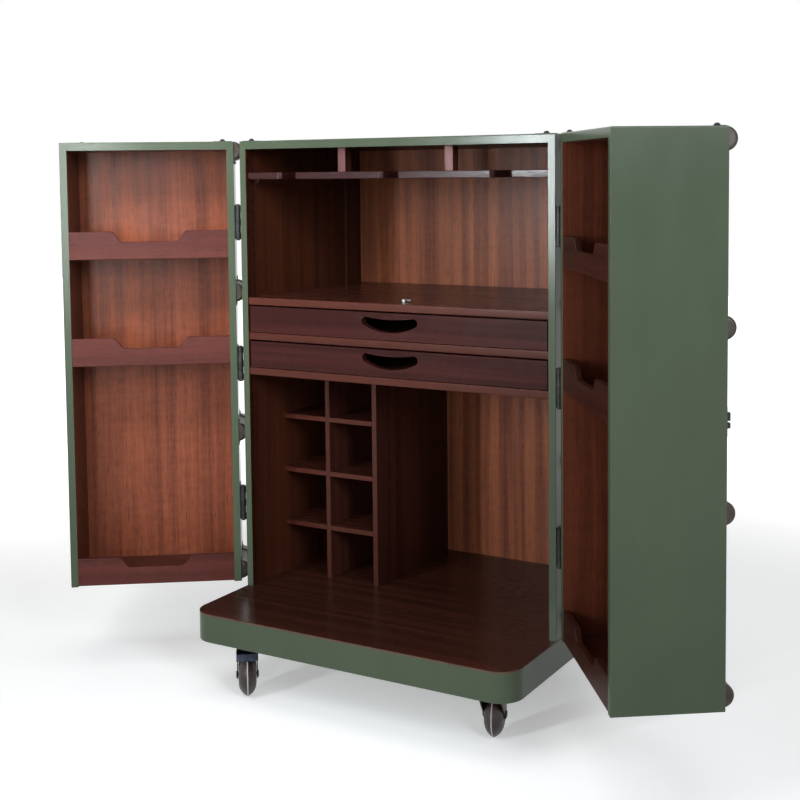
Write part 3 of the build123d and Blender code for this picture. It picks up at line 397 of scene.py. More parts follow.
def tread(corner, centre):
    """Brown tread with a bright line round its middle, a painted highlight along the crown, centred on one
    wheel and turned with it.
    """
    material, tree, shader, coordinates = start_material(f"{corner} castor tread", 0.4, 0.0)
    settings = {"Vector": coordinates, "Dark": (0.010, 0.006, 0.005, 1), "Rubbed": (0.05, 0.026, 0.018, 1),
                "Grain size": 180.0, "Rub": 0.6}
    node = use_group(tree, shader, PATINA, settings, 0.36, 0.3, RELIEF_DEPTH)
    place = add_node(tree, "ShaderNodeMapping", vector_type="TEXTURE")
    feed(tree, place.inputs["Vector"], coordinates)
    place.inputs["Location"].default_value = centre
    place.inputs["Rotation"].default_value = (0, 0, radians(CASTOR_DIRECTIONS[corner]))
    axes = add_node(tree, "ShaderNodeSeparateXYZ")
    feed(tree, axes.inputs[0], place.outputs[0])
    from_middle = maths(tree, "ABSOLUTE", axes.outputs["Y"])
    # A bright band round the wheel's middle: a painted highlight along the crown of the tread.
    line = ramp(tree, from_middle, 0.0007, 0.0016, 0.85, 0.0)
    crown_highlighted = blend_colours(tree, line, node.outputs["Color"], (0.52, 0.47, 0.42, 1))
    feed(tree, shader.inputs["Base Color"], crown_highlighted)
    return material


# Finishes of this case
GREEN = lacquer("green lacquer", (0.049, 0.065, 0.040), (0.059, 0.077, 0.048))
PANEL_DARK, PANEL_LIGHT = (0.095, 0.026, 0.017), (0.32, 0.105, 0.046)
STAIN_DARK, STAIN_LIGHT = (0.020, 0.0058, 0.0046), (0.068, 0.0195, 0.0125)
EDGE_DARK, EDGE_LIGHT = (0.040, 0.0105, 0.0070), (0.085, 0.023, 0.0145)
BRONZE = metal("bronzed cap metal", (0.022, 0.014, 0.010), (0.080, 0.054, 0.040),
               0.3, 0.36, 420.0, 0.55, 0.45)
DARK_STEEL = metal("antique dark steel", (0.012, 0.012, 0.013), (0.09, 0.085, 0.08),
                   0.8, 0.36, 300.0, 0.4, 0.25)
BRIGHT_STEEL = metal("bright turned steel", (0.24, 0.24, 0.24), (0.52, 0.52, 0.51),
                     1.0, 0.22, 500.0, 0.7, 0.12)
CASTOR_METAL = metal("antique castor metal", (0.012, 0.009, 0.008), (0.12, 0.085, 0.06),
                     0.7, 0.34, 240.0, 0.45, 0.3)
BLUED_STEEL = metal("blued pedal steel", (0.008, 0.011, 0.020), (0.05, 0.06, 0.09),
                    0.75, 0.3, 240.0, 0.4, 0.2)
SLAT_DARK, SLAT_LIGHT = (0.028, 0.012, 0.007), (0.085, 0.040, 0.022)


# Mesh tools

def smooth_by_angle(mesh, degrees=35):
    """Shade smoothly across edges that turn less than an angle."""
    for polygon in mesh.polygons:
        polygon.use_smooth = True
    mesh.set_sharp_from_angle(angle=radians(degrees))


def link(name, mesh, *materials):
    """Put a mesh in the scene as an object with its materials."""
    piece = bpy.data.objects.new(name, mesh)
    scene.collection.objects.link(piece)
    for material in materials:
        mesh.materials.append(material)
    return piece


def apply_modifiers(piece):
    """Turn a piece with its modifiers into a plain mesh."""
    bpy.context.view_layer.update()
    evaluated = piece.evaluated_get(bpy.context.evaluated_depsgraph_get())
    mesh = bpy.data.meshes.new_from_object(evaluated)
    piece.modifiers.clear()
    piece.data = mesh


def body_surfaces():
    """The surface of every node with its box, sorted by the body that carries it."""
    surfaces = {}
    for name, piece in frame["nodes"].items():
        corners = [vertex.co.copy() for vertex in piece.data.vertices]
        tree = BVHTree.FromPolygons(corners, [tuple(face.vertices) for face in piece.data.polygons])
        surfaces.setdefault(piece["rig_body"], []).append((name, *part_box(name), tree))
    return surfaces


SURFACES = body_surfaces()
TOUCH = 0.00005


def touches(place, neighbours):
    """Whether a place lies on a neighbour's surface."""
    for low, high, tree in neighbours:
        if all(low[i] - TOUCH <= place[i] <= high[i] + TOUCH for i in range(3)):
            if tree.find_nearest(place, TOUCH)[0] is not None:
                return True
    return False


def merged_copy(node):
    """A joined copy of a node's mesh, with a bevel weight on each sharp edge that no neighbour covers."""
    mesh = frame["nodes"][node].data.copy()
    work = bmesh.new()
    work.from_mesh(mesh)
    bmesh.ops.remove_doubles(work, verts=work.verts, dist=WELD_DISTANCE)
    bmesh.ops.dissolve_limit(work, angle_limit=radians(COPLANAR_DEGREES), verts=work.verts, edges=work.edges)
    body = frame["nodes"][node]["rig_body"]
    neighbours = [row[1:] for row in SURFACES[body] if row[0] != node]
    weights = work.edges.layers.float.new("bevel_weight_edge")
    for edge in work.edges:
        if not edge.is_manifold or edge.calc_face_angle(0) < radians(SHARP_DEGREES):
            continue
        first, last = (vertex.co for vertex in edge.verts)
        covered = sum(touches(first.lerp(last, share), neighbours) for share in (0.2, 0.5, 0.8))
        edge[weights] = 0 if covered > 1 else 1
    work.to_mesh(mesh)
    work.free()
    mesh.materials.clear()
    return mesh


def finish_faces(piece):
    """Smooth rounded edges into flat faces that stay flat to the eye."""
    smooth_by_angle(piece.data)
    for polygon in piece.data.polygons:
        if polygon.area > FLAT_FACE_AREA:
            polygon.use_smooth = False
    weighting = piece.modifiers.new("flat faces", "WEIGHTED_NORMAL")
    weighting.mode = "FACE_AREA"
    weighting.keep_sharp = True
    apply_modifiers(piece)


def eased(node, materials, width=0.0008):
    """Show a node as a copy with softly rounded edges, which catch the light as real edges do."""
    piece = link(f"{node}_eased", merged_copy(node), *materials)
    rounding = piece.modifiers.new("eased edges", "BEVEL")
    rounding.width = width
    rounding.segments = 2
    rounding.limit_method = "WEIGHT"
    apply_modifiers(piece)
    finish_faces(piece)
    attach(piece, frame["nodes"][node]["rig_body"])
    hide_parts(node)
    return piece


def by_facing(piece, direction, slot, least=SQUARE_FACING):
    """Give the faces that look in a direction another of the piece's materials."""
    facing = Vector(direction).normalized()
    for polygon in piece.data.polygons:
        if polygon.normal.dot(facing) > least:
            polygon.material_index = slot


def wooden_inside(piece, side, slot=1):
    """Give a shell board's faces that look into the case or door the lining's wood."""
    closed = door_matrix(side).inverted()
    if side == "case":
        low_x, low_y, high_y = -INNER_X - LINING_REACH, FACE_MARGIN, BACK_Y - BOARD + FACE_MARGIN
    else:
        low_x, low_y, high_y = MEETING_X + BOARD - FACE_MARGIN, DOOR_FACE_Y + BOARD - FACE_MARGIN, -RIM_DEPTH
    high_x, high_z = INNER_X + LINING_REACH, TOP_Z - CEILING_DROP
    heart = Vector(((low_x + INNER_X) / 2, (low_y + high_y) / 2, 0))
    for polygon in piece.data.polygons:
        middle = closed @ polygon.center
        inward = (closed.to_3x3() @ polygon.normal).dot(heart - middle.xy.to_3d()) > 0
        if inward and low_x < middle.x < high_x and low_y < middle.y < high_y and middle.z < high_z:
            polygon.material_index = slot


# Geometry Nodes: slats and nails along lines, and slotted screws on points

def slat_tree():
    """Sweep a D-shaped section along lines, with its round side to the right of the line's way."""
    tree, given, out = new_group(
        "slats along lines",
        [("Geometry", GEOMETRY, None), ("Half height", FLOAT, SLAT_HALF_HEIGHT), ("Depth", FLOAT, SLAT_DEPTH),
         ("Finish", MATERIAL, None)],
        [("Geometry", GEOMETRY)], "GeometryNodeTree",
    )
    lines = add_node(tree, "GeometryNodeMeshToCurve")
    feed(tree, lines.inputs["Mesh"], given["Geometry"])
    upright = add_node(tree, "GeometryNodeSetCurveNormal", mode="Z_UP")
    feed(tree, upright.inputs["Curve"], lines.outputs["Curve"])
    arc = add_node(tree, "GeometryNodeCurveArc", mode="POINTS")
    feed(tree, arc.inputs["Resolution"], 15)
    corners = {"Start": ("Y", -1), "Middle": ("X", 1), "End": ("Y", 1)}
    for name, (axis, way) in corners.items():
        corner = add_node(tree, "ShaderNodeCombineXYZ")
        reach = given["Depth" if axis == "X" else "Half height"]
        feed(tree, corner.inputs[axis], maths(tree, "MULTIPLY", reach, way))
        feed(tree, arc.inputs[name], corner.outputs[0])
    closed = add_node(tree, "GeometryNodeSetSplineCyclic")
    feed(tree, closed.inputs["Geometry"], arc.outputs["Curve"])
    feed(tree, closed.inputs["Cyclic"], True)
    swept = add_node(tree, "GeometryNodeCurveToMesh")
    feed(tree, swept.inputs["Curve"], upright.outputs["Curve"])
    feed(tree, swept.inputs["Profile Curve"], closed.outputs["Geometry"])
    feed(tree, swept.inputs["Fill Caps"], True)
    finish_tree(tree, swept.outputs["Mesh"], given["Finish"], out)
    return tree


def finish_tree(tree, geometry, finish, out):
    """End a tree: make instances real and set their material."""
    real = add_node(tree, "GeometryNodeRealizeInstances")
    feed(tree, real.inputs["Geometry"], geometry)
    dressed = add_node(tree, "GeometryNodeSetMaterial")
    feed(tree, dressed.inputs["Geometry"], real.outputs["Geometry"])
    feed(tree, dressed.inputs["Material"], finish)
    feed(tree, out["Geometry"], dressed.outputs["Geometry"])


def nail_tree():
    """Set round nail heads at even steps along lines, on the crest of the slats."""
    tree, given, out = new_group(
        "nails along lines",
        [("Geometry", GEOMETRY, None), ("Spacing", FLOAT, NAIL_SPACING), ("Head radius", FLOAT, NAIL_RADIUS),
         ("Head height", FLOAT, NAIL_HEIGHT), ("Crest", FLOAT, SLAT_DEPTH), ("Finish", MATERIAL, None)],
        [("Geometry", GEOMETRY)], "GeometryNodeTree",
    )
    lines = add_node(tree, "GeometryNodeMeshToCurve")
    feed(tree, lines.inputs["Mesh"], given["Geometry"])
    upright = add_node(tree, "GeometryNodeSetCurveNormal", mode="Z_UP")
    feed(tree, upright.inputs["Curve"], lines.outputs["Curve"])
    points = add_node(tree, "GeometryNodeCurveToPoints", mode="LENGTH")
    feed(tree, points.inputs["Curve"], upright.outputs["Curve"])
    feed(tree, points.inputs["Length"], given["Spacing"])
    lift = add_node(tree, "ShaderNodeVectorMath", operation="SCALE")
    feed(tree, lift.inputs[0], points.outputs["Normal"])
    feed(tree, lift.inputs["Scale"], given["Crest"])
    moved = add_node(tree, "GeometryNodeSetPosition")
    feed(tree, moved.inputs["Geometry"], points.outputs["Points"])
    feed(tree, moved.inputs["Offset"], lift.outputs[0])
    facing = add_node(tree, "FunctionNodeAlignRotationToVector", axis="Z")
    feed(tree, facing.inputs["Vector"], points.outputs["Normal"])
    dome = add_node(tree, "GeometryNodeMeshUVSphere")
    feed(tree, dome.inputs["Segments"], 12)
    feed(tree, dome.inputs["Rings"], 7)
    feed(tree, dome.inputs["Radius"], given["Head radius"])
    flat = add_node(tree, "ShaderNodeCombineXYZ")
    feed(tree, flat.inputs["X"], 1.0)
    feed(tree, flat.inputs["Y"], 1.0)
    feed(tree, flat.inputs["Z"], maths(tree, "DIVIDE", given["Head height"], given["Head radius"]))
    low_dome = add_node(tree, "GeometryNodeTransform")
    feed(tree, low_dome.inputs["Geometry"], dome.outputs["Mesh"])
    feed(tree, low_dome.inputs["Scale"], flat.outputs[0])
    heads = add_node(tree, "GeometryNodeInstanceOnPoints")
    feed(tree, heads.inputs["Points"], moved.outputs["Geometry"])
    feed(tree, heads.inputs["Instance"], low_dome.outputs["Geometry"])
    feed(tree, heads.inputs["Rotation"], facing.outputs["Rotation"])
    finish_tree(tree, heads.outputs["Instances"], given["Finish"], out)
    return tree


def screw_tree():
    """Set slotted screw heads on points, facing along each point's own facing, with turned slots."""
    tree, given, out = new_group(
        "slotted screws on points",
        [("Geometry", GEOMETRY, None), ("Head radius", FLOAT, LEAF_SCREW_RADIUS),
         ("Head height", FLOAT, LEAF_SCREW_HEIGHT), ("Slot width", FLOAT, LEAF_SLOT_WIDTH),
         ("Seed", "NodeSocketInt", 3), ("Finish", MATERIAL, None)],
        [("Geometry", GEOMETRY)], "GeometryNodeTree",
    )
    head = add_node(tree, "GeometryNodeMeshCone")
    feed(tree, head.inputs["Vertices"], 20)
    feed(tree, head.inputs["Radius Top"], maths(tree, "MULTIPLY", given["Head radius"], SCREW_CROWN))
    feed(tree, head.inputs["Radius Bottom"], given["Head radius"])
    feed(tree, head.inputs["Depth"], given["Head height"])
    blade = add_node(tree, "ShaderNodeCombineXYZ")
    feed(tree, blade.inputs["X"], maths(tree, "MULTIPLY", given["Head radius"], SLOT_LENGTH))
    feed(tree, blade.inputs["Y"], given["Slot width"])
    feed(tree, blade.inputs["Z"], given["Head height"])
    cutter = add_node(tree, "GeometryNodeMeshCube")
    feed(tree, cutter.inputs["Size"], blade.outputs[0])
    raise_cutter = add_node(tree, "ShaderNodeCombineXYZ")
    feed(tree, raise_cutter.inputs["Z"], maths(tree, "MULTIPLY", given["Head height"], SLOT_LIFT))
    raised = add_node(tree, "GeometryNodeTransform")
    feed(tree, raised.inputs["Geometry"], cutter.outputs["Mesh"])
    feed(tree, raised.inputs["Translation"], raise_cutter.outputs[0])
    slotted = add_node(tree, "GeometryNodeMeshBoolean", operation="DIFFERENCE")
    feed(tree, slotted.inputs["Mesh 1"], head.outputs["Mesh"])
    feed(tree, slotted.inputs["Mesh 2"], raised.outputs["Geometry"])
    facing = add_node(tree, "GeometryNodeInputNamedAttribute", data_type="FLOAT_VECTOR")
    feed(tree, facing.inputs["Name"], "facing")
    aligned = add_node(tree, "FunctionNodeAlignRotationToVector", axis="Z")
    feed(tree, aligned.inputs["Vector"], facing.outputs["Attribute"])
    turn = add_node(tree, "FunctionNodeRandomValue", data_type="FLOAT")
    feed(tree, turn.inputs[3], SLOT_TURN)
    feed(tree, turn.inputs["Seed"], given["Seed"])
    turned = add_node(tree, "FunctionNodeAxisAngleToRotation")
    feed(tree, turned.inputs["Axis"], (0, 0, 1))
    feed(tree, turned.inputs["Angle"], turn.outputs[1])
    both = add_node(tree, "FunctionNodeRotateRotation", rotation_space="LOCAL")
    feed(tree, both.inputs["Rotation"], aligned.outputs["Rotation"])
    feed(tree, both.inputs["Rotate By"], turned.outputs["Rotation"])
    placed = add_node(tree, "GeometryNodeInstanceOnPoints")
    feed(tree, placed.inputs["Points"], given["Geometry"])
    feed(tree, placed.inputs["Instance"], slotted.outputs["Mesh"])
    feed(tree, placed.inputs["Rotation"], both.outputs["Rotation"])
    finish_tree(tree, placed.outputs["Instances"], given["Finish"], out)
    return tree


SLATS = slat_tree()
NAILS = nail_tree()
SCREWS = screw_tree()


def grown(name, mesh, tree, settings, smooth=35):
    """Run a tree on lines or points, and keep the result as a plain mesh."""
    piece = link(name, mesh)
    modifier = piece.modifiers.new(tree.name, "NODES")
    modifier.node_group = tree
    for item in tree.interface.items_tree:
        if item.item_type == "SOCKET" and item.in_out == "INPUT" and item.name in settings:
            modifier[item.identifier] = settings[item.name]
    apply_modifiers(piece)
    smooth_by_angle(piece.data, smooth)
    return piece


def slat_runs(side):
    """Start, end and outward direction of each slat's row of a body, on the closed case."""
    if side == "case":
        side_end = BACK_Y - CORNER_RADIUS - SLAT_CORNER_GAP
        back_x = CORNER_X - SLAT_CORNER_GAP
        return [((HALF_WIDTH, CASE_SLAT_SETBACK), (HALF_WIDTH, side_end), (1, 0)),
                ((-HALF_WIDTH, CASE_SLAT_SETBACK), (-HALF_WIDTH, side_end), (-1, 0)),
                ((-back_x, BACK_Y), (back_x, BACK_Y), (0, 1))]
    return [((MEETING_X + SLAT_EDGE_GAP, DOOR_FACE_Y), (CORNER_X - SLAT_CORNER_GAP, DOOR_FACE_Y), (0, -1)),
            ((HALF_WIDTH, DOOR_FACE_Y + CORNER_RADIUS + SLAT_CORNER_GAP),
             (HALF_WIDTH, DOOR_RIM_Y - SLAT_EDGE_GAP), (1, 0))]


def line_mesh(name, side, shorten, step=None):
    """Lines of a body's slats between their caps, all with the outward side on their right."""
    matrix = door_matrix(side)
    corners, edges = [], []
    for first, last, out in slat_runs(side):
        first, last, out = Vector((*first, 0)), Vector((*last, 0)), Vector((*out, 0))
        along = (last - first).normalized()
        length = (last - first).length - 2 * shorten
        if step:
            length = step * max(1, int(length / step))
        middle = (first + last) / 2
        ends = [matrix @ (middle + along * length / 2 * way) for way in (-1, 1)]
        outward = matrix.to_3x3() @ out
        way = (ends[1] - ends[0]).cross(Vector((0, 0, 1)))
        if way.dot(outward) < 0:
            ends.reverse()
        for height in SLAT_HEIGHTS:
            edges.append((len(corners), len(corners) + 1))
            corners += [end + Vector((0, 0, height)) for end in ends]
    mesh = bpy.data.meshes.new(name)
    mesh.from_pydata(corners, edges, [])
    return mesh


def point_mesh(name, points):
    """Points with the direction that each one faces."""
    mesh = bpy.data.meshes.new(name)
    mesh.from_pydata([place for place, _ in points], [], [])
    facing = mesh.attributes.new("facing", "FLOAT_VECTOR", "POINT")
    for row, (_, direction) in zip(facing.data, points):
        row.vector = direction
    return mesh


def slats(side, node, timber):
    """The slats of a body, and the nails that hold them."""
    body = frame["nodes"][node]["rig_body"]
    lines = line_mesh(node + "_lines", side, CAP_LENGTH - CAP_OVERLAP)
    rows = grown(node + "_swept", lines, SLATS, {"Finish": timber})
    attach(rows, body)
    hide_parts(node)
    nail_lines = line_mesh(node + "_nail_lines", side, CAP_LENGTH + NAIL_CAP_GAP, NAIL_SPACING)
    nails = grown(node + "_nails", nail_lines, NAILS, {"Finish": BRONZE}, NAIL_SMOOTH_DEGREES)
    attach(nails, body)


def leaf_screws(side, node):
    """Slotted heads on the screws of a body's hinge leaves."""
    matrix = door_matrix(side)
    way = 1 if side == "case" else -1
    leaf_face = HALF_WIDTH + LEAF_THICKNESS + LEAF_SCREW_LIFT
    points = []
    for mirror in ((1, -1) if side == "case" else (1,)):
        for height in HINGE_HEIGHTS:
            for up in (-1, 1):
                place = Vector((mirror * leaf_face, way * (LEAF_GAP + LEAF_LENGTH / 2),
                                height + up * BARREL_LENGTH / 4))
                points.append((matrix @ place, matrix.to_3x3() @ Vector((mirror, 0, 0))))
    spots = point_mesh(node + "_screw_points", points)
    screws = grown(node + "_screws", spots, SCREWS, {"Finish": DARK_STEEL})
    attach(screws, frame["nodes"][node]["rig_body"])


def castor_screws():
    """Slotted heads on the screws under the castors' plates."""
    points = []
    for x in (-CASTOR_X, CASTOR_X):
        for y in (CASTOR_FRONT_Y, CASTOR_REAR_Y):
            for across in (-CASTOR_SCREW_REACH, CASTOR_SCREW_REACH):
                for along in (-CASTOR_SCREW_REACH, CASTOR_SCREW_REACH):
                    place = (x + across, y + along, CASTOR_TOP_Z - CASTOR_PLATE_THICKNESS - CASTOR_SCREW_LIFT)
                    points.append((place, (0, 0, -1)))
    screws = grown("castor_plate_screws", point_mesh("castor_screw_points", points), SCREWS,
                   {"Finish": CASTOR_METAL, "Head radius": CASTOR_SCREW_RADIUS,
                    "Head height": CASTOR_SCREW_HEIGHT, "Slot width": CASTOR_SLOT_WIDTH})
    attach(screws, frame["nodes"]["castor_plates"]["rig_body"])


# Case body: green boards outside and veneered lining inside
LINING = wood("back panel veneer", "Z", PANEL_DARK, PANEL_LIGHT, stripes=0.9)
# The side panels are the same mahogany lining as the back panel, made several times darker: painted shade of
# the case's inner side walls.
SIDE_LINING_PAINTED_SHADE = wood("side panel veneer in painted shade", "Z", (0.020, 0.0056, 0.0034), (0.066, 0.0185, 0.0085), stripes=0.6,
                   shift=(0.4, 0.2, 0.1))
# Inside faces of the side boards, corner posts and back take the darker side veneer, painted shade.
for node in ("case_left_side", "case_right_side", "case_corner_posts", "case_back"):
    wooden_inside(eased(node, [GREEN, SIDE_LINING_PAINTED_SHADE]), "case")
for node in ("platform_rim", "platform_bottom"):
    eased(node, [GREEN])
eased("case_top", [GREEN], 0.0006)
lining = eased("case_lining", [SIDE_LINING_PAINTED_SHADE, LINING], 0.0004)
# Front-facing lining takes the back panel veneer; its other faces keep the darker side veneer, painted shade.
by_facing(lining, (0, -1, 0), 1)

COUNTER = wood("counter veneer", "X", STAIN_DARK, STAIN_LIGHT, pores=0.2, gloss=0.2, shift=(0.1, 0.5, 0.3))
SHELF_EDGE = wood("board edge", "X", EDGE_DARK, EDGE_LIGHT, stripes=0.3, shift=(0.3, 0.1, 0.2),
                  gloss=0.2, shine=0.10)
for node in ("counter_board", "drawer_shelves"):
    board = eased(node, [COUNTER, SHELF_EDGE], 0.0012)
    by_facing(board, (0, -1, 0), 1, ROUNDED_FACING)

DECK = wood("deck veneer", "X", (0.018, 0.0058, 0.0042), (0.058, 0.0185, 0.0112), gloss=0.18,
            stripes=0.7, pores=0.25, shift=(0.2, 0.2, 0.6))
# A lighter grey-brown copy of the deck timber for the deck board's edges: a painted highlight along its front
# edge.
DECK_EDGE_HIGHLIGHT = wood("deck edge painted highlight", "X", (0.06, 0.03, 0.02), (0.12, 0.065, 0.045), stripes=0.3)
deck = eased("deck_board", [DECK, DECK_EDGE_HIGHLIGHT], 0.0003)
# Every face of the deck board that does not look up takes the lighter edge tone, the painted highlight.
for polygon in deck.data.polygons:
    if polygon.normal.z < SQUARE_FACING:
        polygon.material_index = 1

UPRIGHT = wood("partition veneer", "Z", STAIN_DARK, (0.075, 0.022, 0.014), stripes=0.5, shift=(0.7, 0.3, 0.4))
UPRIGHT_EDGE = wood("partition edge", "Z", (0.034, 0.0095, 0.0065), (0.070, 0.020, 0.013), stripes=0.3)
for node in ("bottle_divider", "tall_partition"):
    board = eased(node, [UPRIGHT, UPRIGHT_EDGE], 0.001)
    by_facing(board, (0, -1, 0), 1, ROUNDED_FACING)
shelves = eased("bottle_shelves", [COUNTER, SHELF_EDGE], 0.0008)
by_facing(shelves, (0, -1, 0), 1, ROUNDED_FACING)

RACK = wood("glass rack timber", "X", (0.013, 0.0038, 0.0040), (0.036, 0.0105, 0.0100), gloss=0.18,
            shift=(0.9, 0.1, 0.7), shine=0.16)
# A pale, bluish copy of the timber for the hanging posts' front faces, a painted sheen; their sides keep the
# darker partition veneer, painted shade.
HANGER_FRONT_SHEEN = wood("hanger timber", "Z", (0.10, 0.038, 0.038), (0.20, 0.086, 0.082), stripes=0.4,
              shift=(0.2, 0.8, 0.1))
eased("glass_rack", [RACK], 0.0014)
hangers = eased("glass_rack_hangers", [UPRIGHT, HANGER_FRONT_SHEEN], 0.0008)
# Front faces of the middle posts take the pale copy, the painted sheen.
for polygon in hangers.data.polygons:
    if polygon.normal.y < -SQUARE_FACING and abs(polygon.center.x) < HANGING_POST_REACH:
        polygon.material_index = 1

DRAWER_FRONT = wood("drawer front veneer", "X", (0.017, 0.0042, 0.0038), (0.054, 0.0135, 0.0110), stripes=0.6,
                    gloss=0.18, shift=(0.5, 0.9, 0.2), shine=0.07)
DRAWER_BOX = wood("drawer box timber", "X", (0.055, 0.025, 0.012), (0.17, 0.08, 0.04), stripes=0.4, gloss=0.4)
for level in ("upper", "lower"):
    eased(f"{level}_drawer_front", [DRAWER_FRONT], 0.0016)
    eased(f"{level}_drawer_box", [DRAWER_BOX], 0.0005)
eased("drawer_runners", [DRAWER_BOX], 0.0008)
eased("counter_stud", [BRIGHT_STEEL], 0.0004)
eased("case_corner_plates", [DARK_STEEL], 0.0002)
eased("case_hinge_leaves", [DARK_STEEL], 0.0004)
leaf_screws("case", "case_hinge_leaves")
CASE_SLAT = wood("case slat timber", "X", SLAT_DARK, SLAT_LIGHT, gloss=0.3)
slats("case", "case_slats", CASE_SLAT)
eased("case_slat_caps", [BRONZE], 0.0006)

# Doors: the same kinds of finish, with the grain turned with each door. The two doors' veneers and tray rails
# are lit and shaded copies of one wood.
# The right door's veneer is painted lighter and more orange to make up for the dim light inside it. Its tray
# rails are painted darker, as painted shade. The left door's rails are lighter, as painted light.
DOOR_WOODS_LIT_AND_SHADED = {
    "left": ((0.094, 0.025, 0.0145), (0.32, 0.091, 0.043), (0.042, 0.0105, 0.0085), (0.105, 0.0275, 0.021)),
    "right": ((0.115, 0.032, 0.013), (0.38, 0.114, 0.038), (0.015, 0.0045, 0.003), (0.042, 0.0115, 0.007)),
}
for side, (dark, light, rail_dark, rail_light) in DOOR_WOODS_LIT_AND_SHADED.items():
    door_back = wood(f"{side} door veneer", "Z", dark, light, side, stripes=0.35, shift=(0.1, 0.6, 0.9))
    door_side = wood(f"{side} door side veneer", "Z", (0.035, 0.010, 0.006), (0.13, 0.036, 0.018), side,
                     stripes=0.5, shift=(0.8, 0.1, 0.3))
    tray_timber = wood(f"{side} tray rail timber", "X", rail_dark, rail_light, side, stripes=0.4,
                       gloss=0.32, shift=(0.3, 0.3, 0.3))
    inward = door_matrix(side).to_3x3() @ Vector((0, 1, 0))
    for part in ("front", "hinge_side", "meeting_side"):
        board = eased(f"{side}_door_{part}", [GREEN, door_back if part == "front" else door_side])
        wooden_inside(board, side)
    ends = eased(f"{side}_door_end_boards", [GREEN, tray_timber], 0.0006)
    for polygon in ends.data.polygons:
        if polygon.center.z < DECK_Z + DOOR_FOOT_HEIGHT:
            polygon.material_index = 1
    wooden_inside(ends, side)
    sheets = eased(f"{side}_door_lining", [door_side, door_back], 0.0004)
    by_facing(sheets, inward, 1)
    eased(f"{side}_door_trays", [tray_timber], 0.0014)
    eased(f"{side}_door_corner_plates", [DARK_STEEL], 0.0002)
    eased(f"{side}_door_hinge_leaves", [DARK_STEEL], 0.0004)
    leaf_screws(side, f"{side}_door_hinge_leaves")
    slat_timber = wood(f"{side} door slat timber", "X", SLAT_DARK, SLAT_LIGHT, side, gloss=0.3)
    slats(side, f"{side}_door_slats", slat_timber)
    eased(f"{side}_door_slat_caps", [BRONZE], 0.0006)
for node in ("latch_lugs", "latch_mount", "latch_hasp"):
    eased(node, [DARK_STEEL], 0.0004)

eased("castor_plates", [CASTOR_METAL], 0.0005)
castor_screws()
for corner in CASTOR_DIRECTIONS:
    wheel_low, wheel_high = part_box(f"castor_wheel_{corner}")
    eased(f"castor_fork_{corner}", [CASTOR_METAL], 0.0005)
    eased(f"castor_wheel_{corner}", [tread(corner, (wheel_low + wheel_high) / 2)], 0.0004)
    if corner.startswith("front"):
        eased(f"castor_brake_{corner}", [BLUED_STEEL], 0.0005)


# Camera, solved from the photograph's edges
FOCAL_PIXELS = 1329.1
IMAGE_PIXELS = 800
CENTRE_Y_PIXELS = 265.4
CAMERA_PLACE = Vector((1.419, -2.3648, 0.9304 + DECK_Z))
CAMERA_HEADING, CAMERA_PITCH, CAMERA_ROLL = 0.5311, 0.0708, -0.0106

camera_data = bpy.data.cameras.new("camera")
camera_data.sensor_width = 36
camera_data.lens = camera_data.sensor_width * FOCAL_PIXELS / IMAGE_PIXELS
camera_data.shift_y = (CENTRE_Y_PIXELS - IMAGE_PIXELS / 2) / IMAGE_PIXELS
camera = bpy.data.objects.new("camera", camera_data)
scene.collection.objects.link(camera)
forward = Vector((-sin(CAMERA_HEADING) * cos(CAMERA_PITCH), cos(CAMERA_HEADING) * cos(CAMERA_PITCH),
                  -sin(CAMERA_PITCH)))
level_right = Vector((cos(CAMERA_HEADING), sin(CAMERA_HEADING), 0))
level_up = level_right.cross(forward)
camera_right = cos(CAMERA_ROLL) * level_right + sin(CAMERA_ROLL) * level_up
camera_up = -sin(CAMERA_ROLL) * level_right + cos(CAMERA_ROLL) * level_up
camera_turn = Matrix((camera_right, camera_up, -forward)).transposed().to_4x4()
camera.matrix_world = Matrix.Translation(CAMERA_PLACE) @ camera_turn
scene.camera = camera


# Studio: a white floor and surround, and six soft lamps
SHADOW_REACH = 1.2
PLAIN_WHITE_FROM = 3.0
NEAR_GLOW = 0.34
FAR_GLOW = 1.1

def seen_directly(tree):
    """1 for what the camera, a reflection or glass sees, and 0 for the light that falls on things."""
    path = add_node(tree, "ShaderNodeLightPath").outputs
    return maths(tree, "MAXIMUM", path["Is Camera Ray"], maths(tree, "MAXIMUM", path["Is Glossy Ray"],
                                                               path["Is Transmission Ray"]))


def floor_white():
    """White with the shadow kept near the object, and plain white further off."""
    material = bpy.data.materials.new("studio floor white")
    material.use_nodes = True
    tree = material.node_tree
    shader = tree.nodes["Principled BSDF"]
    shader.inputs["Base Color"].default_value = (0.93, 0.93, 0.93, 1)
    shader.inputs["Roughness"].default_value = 0.8
    shader.inputs["Specular IOR Level"].default_value = 0.1
    glow = add_node(tree, "ShaderNodeEmission")
    glow.inputs["Color"].default_value = (1, 1, 1, 1)
    distance = add_node(tree, "ShaderNodeVectorMath", operation="LENGTH")
    feed(tree, distance.inputs[0], add_node(tree, "ShaderNodeTexCoord").outputs["Object"])
    share = ramp(tree, distance.outputs["Value"], SHADOW_REACH, PLAIN_WHITE_FROM, NEAR_GLOW, FAR_GLOW)
    feed(tree, glow.inputs["Strength"], maths(tree, "MULTIPLY", seen_directly(tree), share))
    both = add_node(tree, "ShaderNodeAddShader")
    tree.links.new(shader.outputs[0], both.inputs[0])
    tree.links.new(glow.outputs[0], both.inputs[1])
    tree.links.new(both.outputs[0], tree.nodes["Material Output"].inputs["Surface"])
    return material


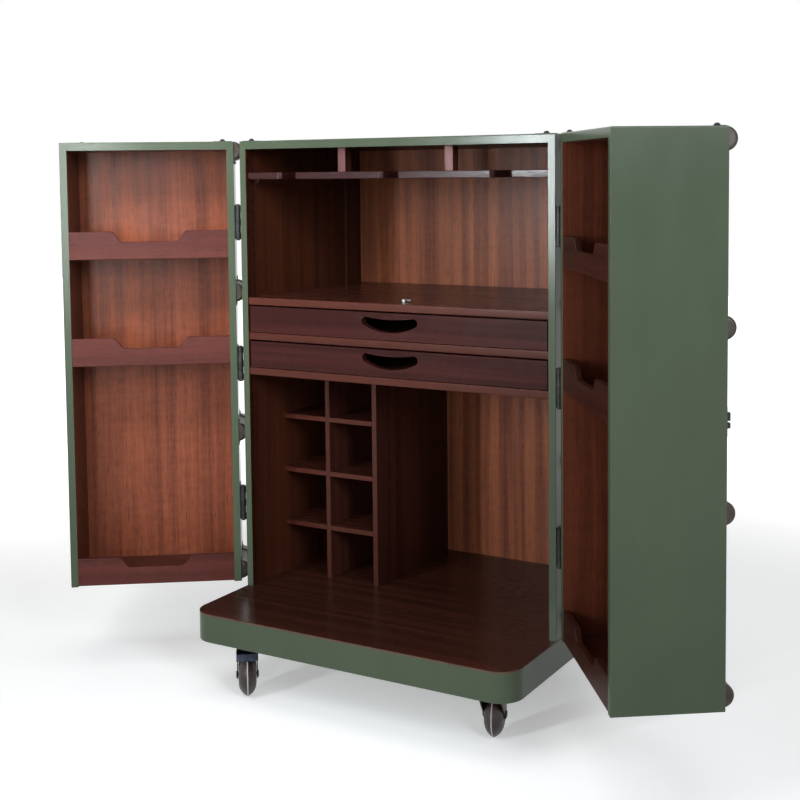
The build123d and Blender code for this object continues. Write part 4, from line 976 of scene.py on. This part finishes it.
FLOOR_REACH = 9.0
floor_mesh = bpy.data.meshes.new("studio_floor")
floor_mesh.from_pydata([(-FLOOR_REACH, -FLOOR_REACH, 0), (FLOOR_REACH, -FLOOR_REACH, 0),
                        (FLOOR_REACH, FLOOR_REACH, 0), (-FLOOR_REACH, FLOOR_REACH, 0)], [], [(0, 1, 2, 3)])
link("studio_floor", floor_mesh, floor_white())

world = bpy.data.worlds.new("studio")
scene.world = world
world.use_nodes = True
world_tree = world.node_tree
background = world_tree.nodes["Background"]
background.inputs["Color"].default_value = (1, 1, 1, 1)
AMBIENT = 0.30
feed(world_tree, background.inputs["Strength"],
     maths(world_tree, "MULTIPLY_ADD", seen_directly(world_tree), 1 - AMBIENT, AMBIENT))


def softbox(name, position, target, width, height, power, spread, tint=(1, 1, 1)):
    """A rectangular lamp that looks at a place and that no camera sees."""
    data = bpy.data.lights.new(name, "AREA")
    data.shape = "RECTANGLE"
    data.size = width
    data.size_y = height
    data.energy = power
    data.color = tint
    data.spread = radians(spread)
    lamp = bpy.data.objects.new(name, data)
    scene.collection.objects.link(lamp)
    lamp.location = position
    lamp.rotation_euler = (Vector(target) - Vector(position)).to_track_quat("-Z", "Y").to_euler()
    lamp.visible_camera = False


COOL = (0.90, 0.96, 1.0)
softbox("left strip softbox", (-1.02, -3.0, 1.36), (0.34, 0, 1.15), 0.24, 1.2, 11.5, 62, COOL)
softbox("right strip softbox", (0.84, -3.0, 1.30), (-0.65, -0.2, 1.0), 0.26, 1.5, 3.4, 46, COOL)
softbox("door softbox", (-0.2, -1.5, 2.1), (-0.62, -0.15, 1.2), 0.5, 0.5, 2.3, 40)
softbox("high front softbox", (-0.35, -1.9, 2.35), (-0.1, 0, 0.8), 1.1, 0.9, 10.5, 180)
softbox("side softbox", (3.25, -2.1, 2.1), (0.68, -0.3, 1.2), 1.2, 1.3, 12, 60, COOL)
softbox("top softbox", (0.0, -0.2, 3.4), (0, 0, 0.6), 2.4, 2.4, 24, 180)

scene.view_settings.view_transform = "Standard"
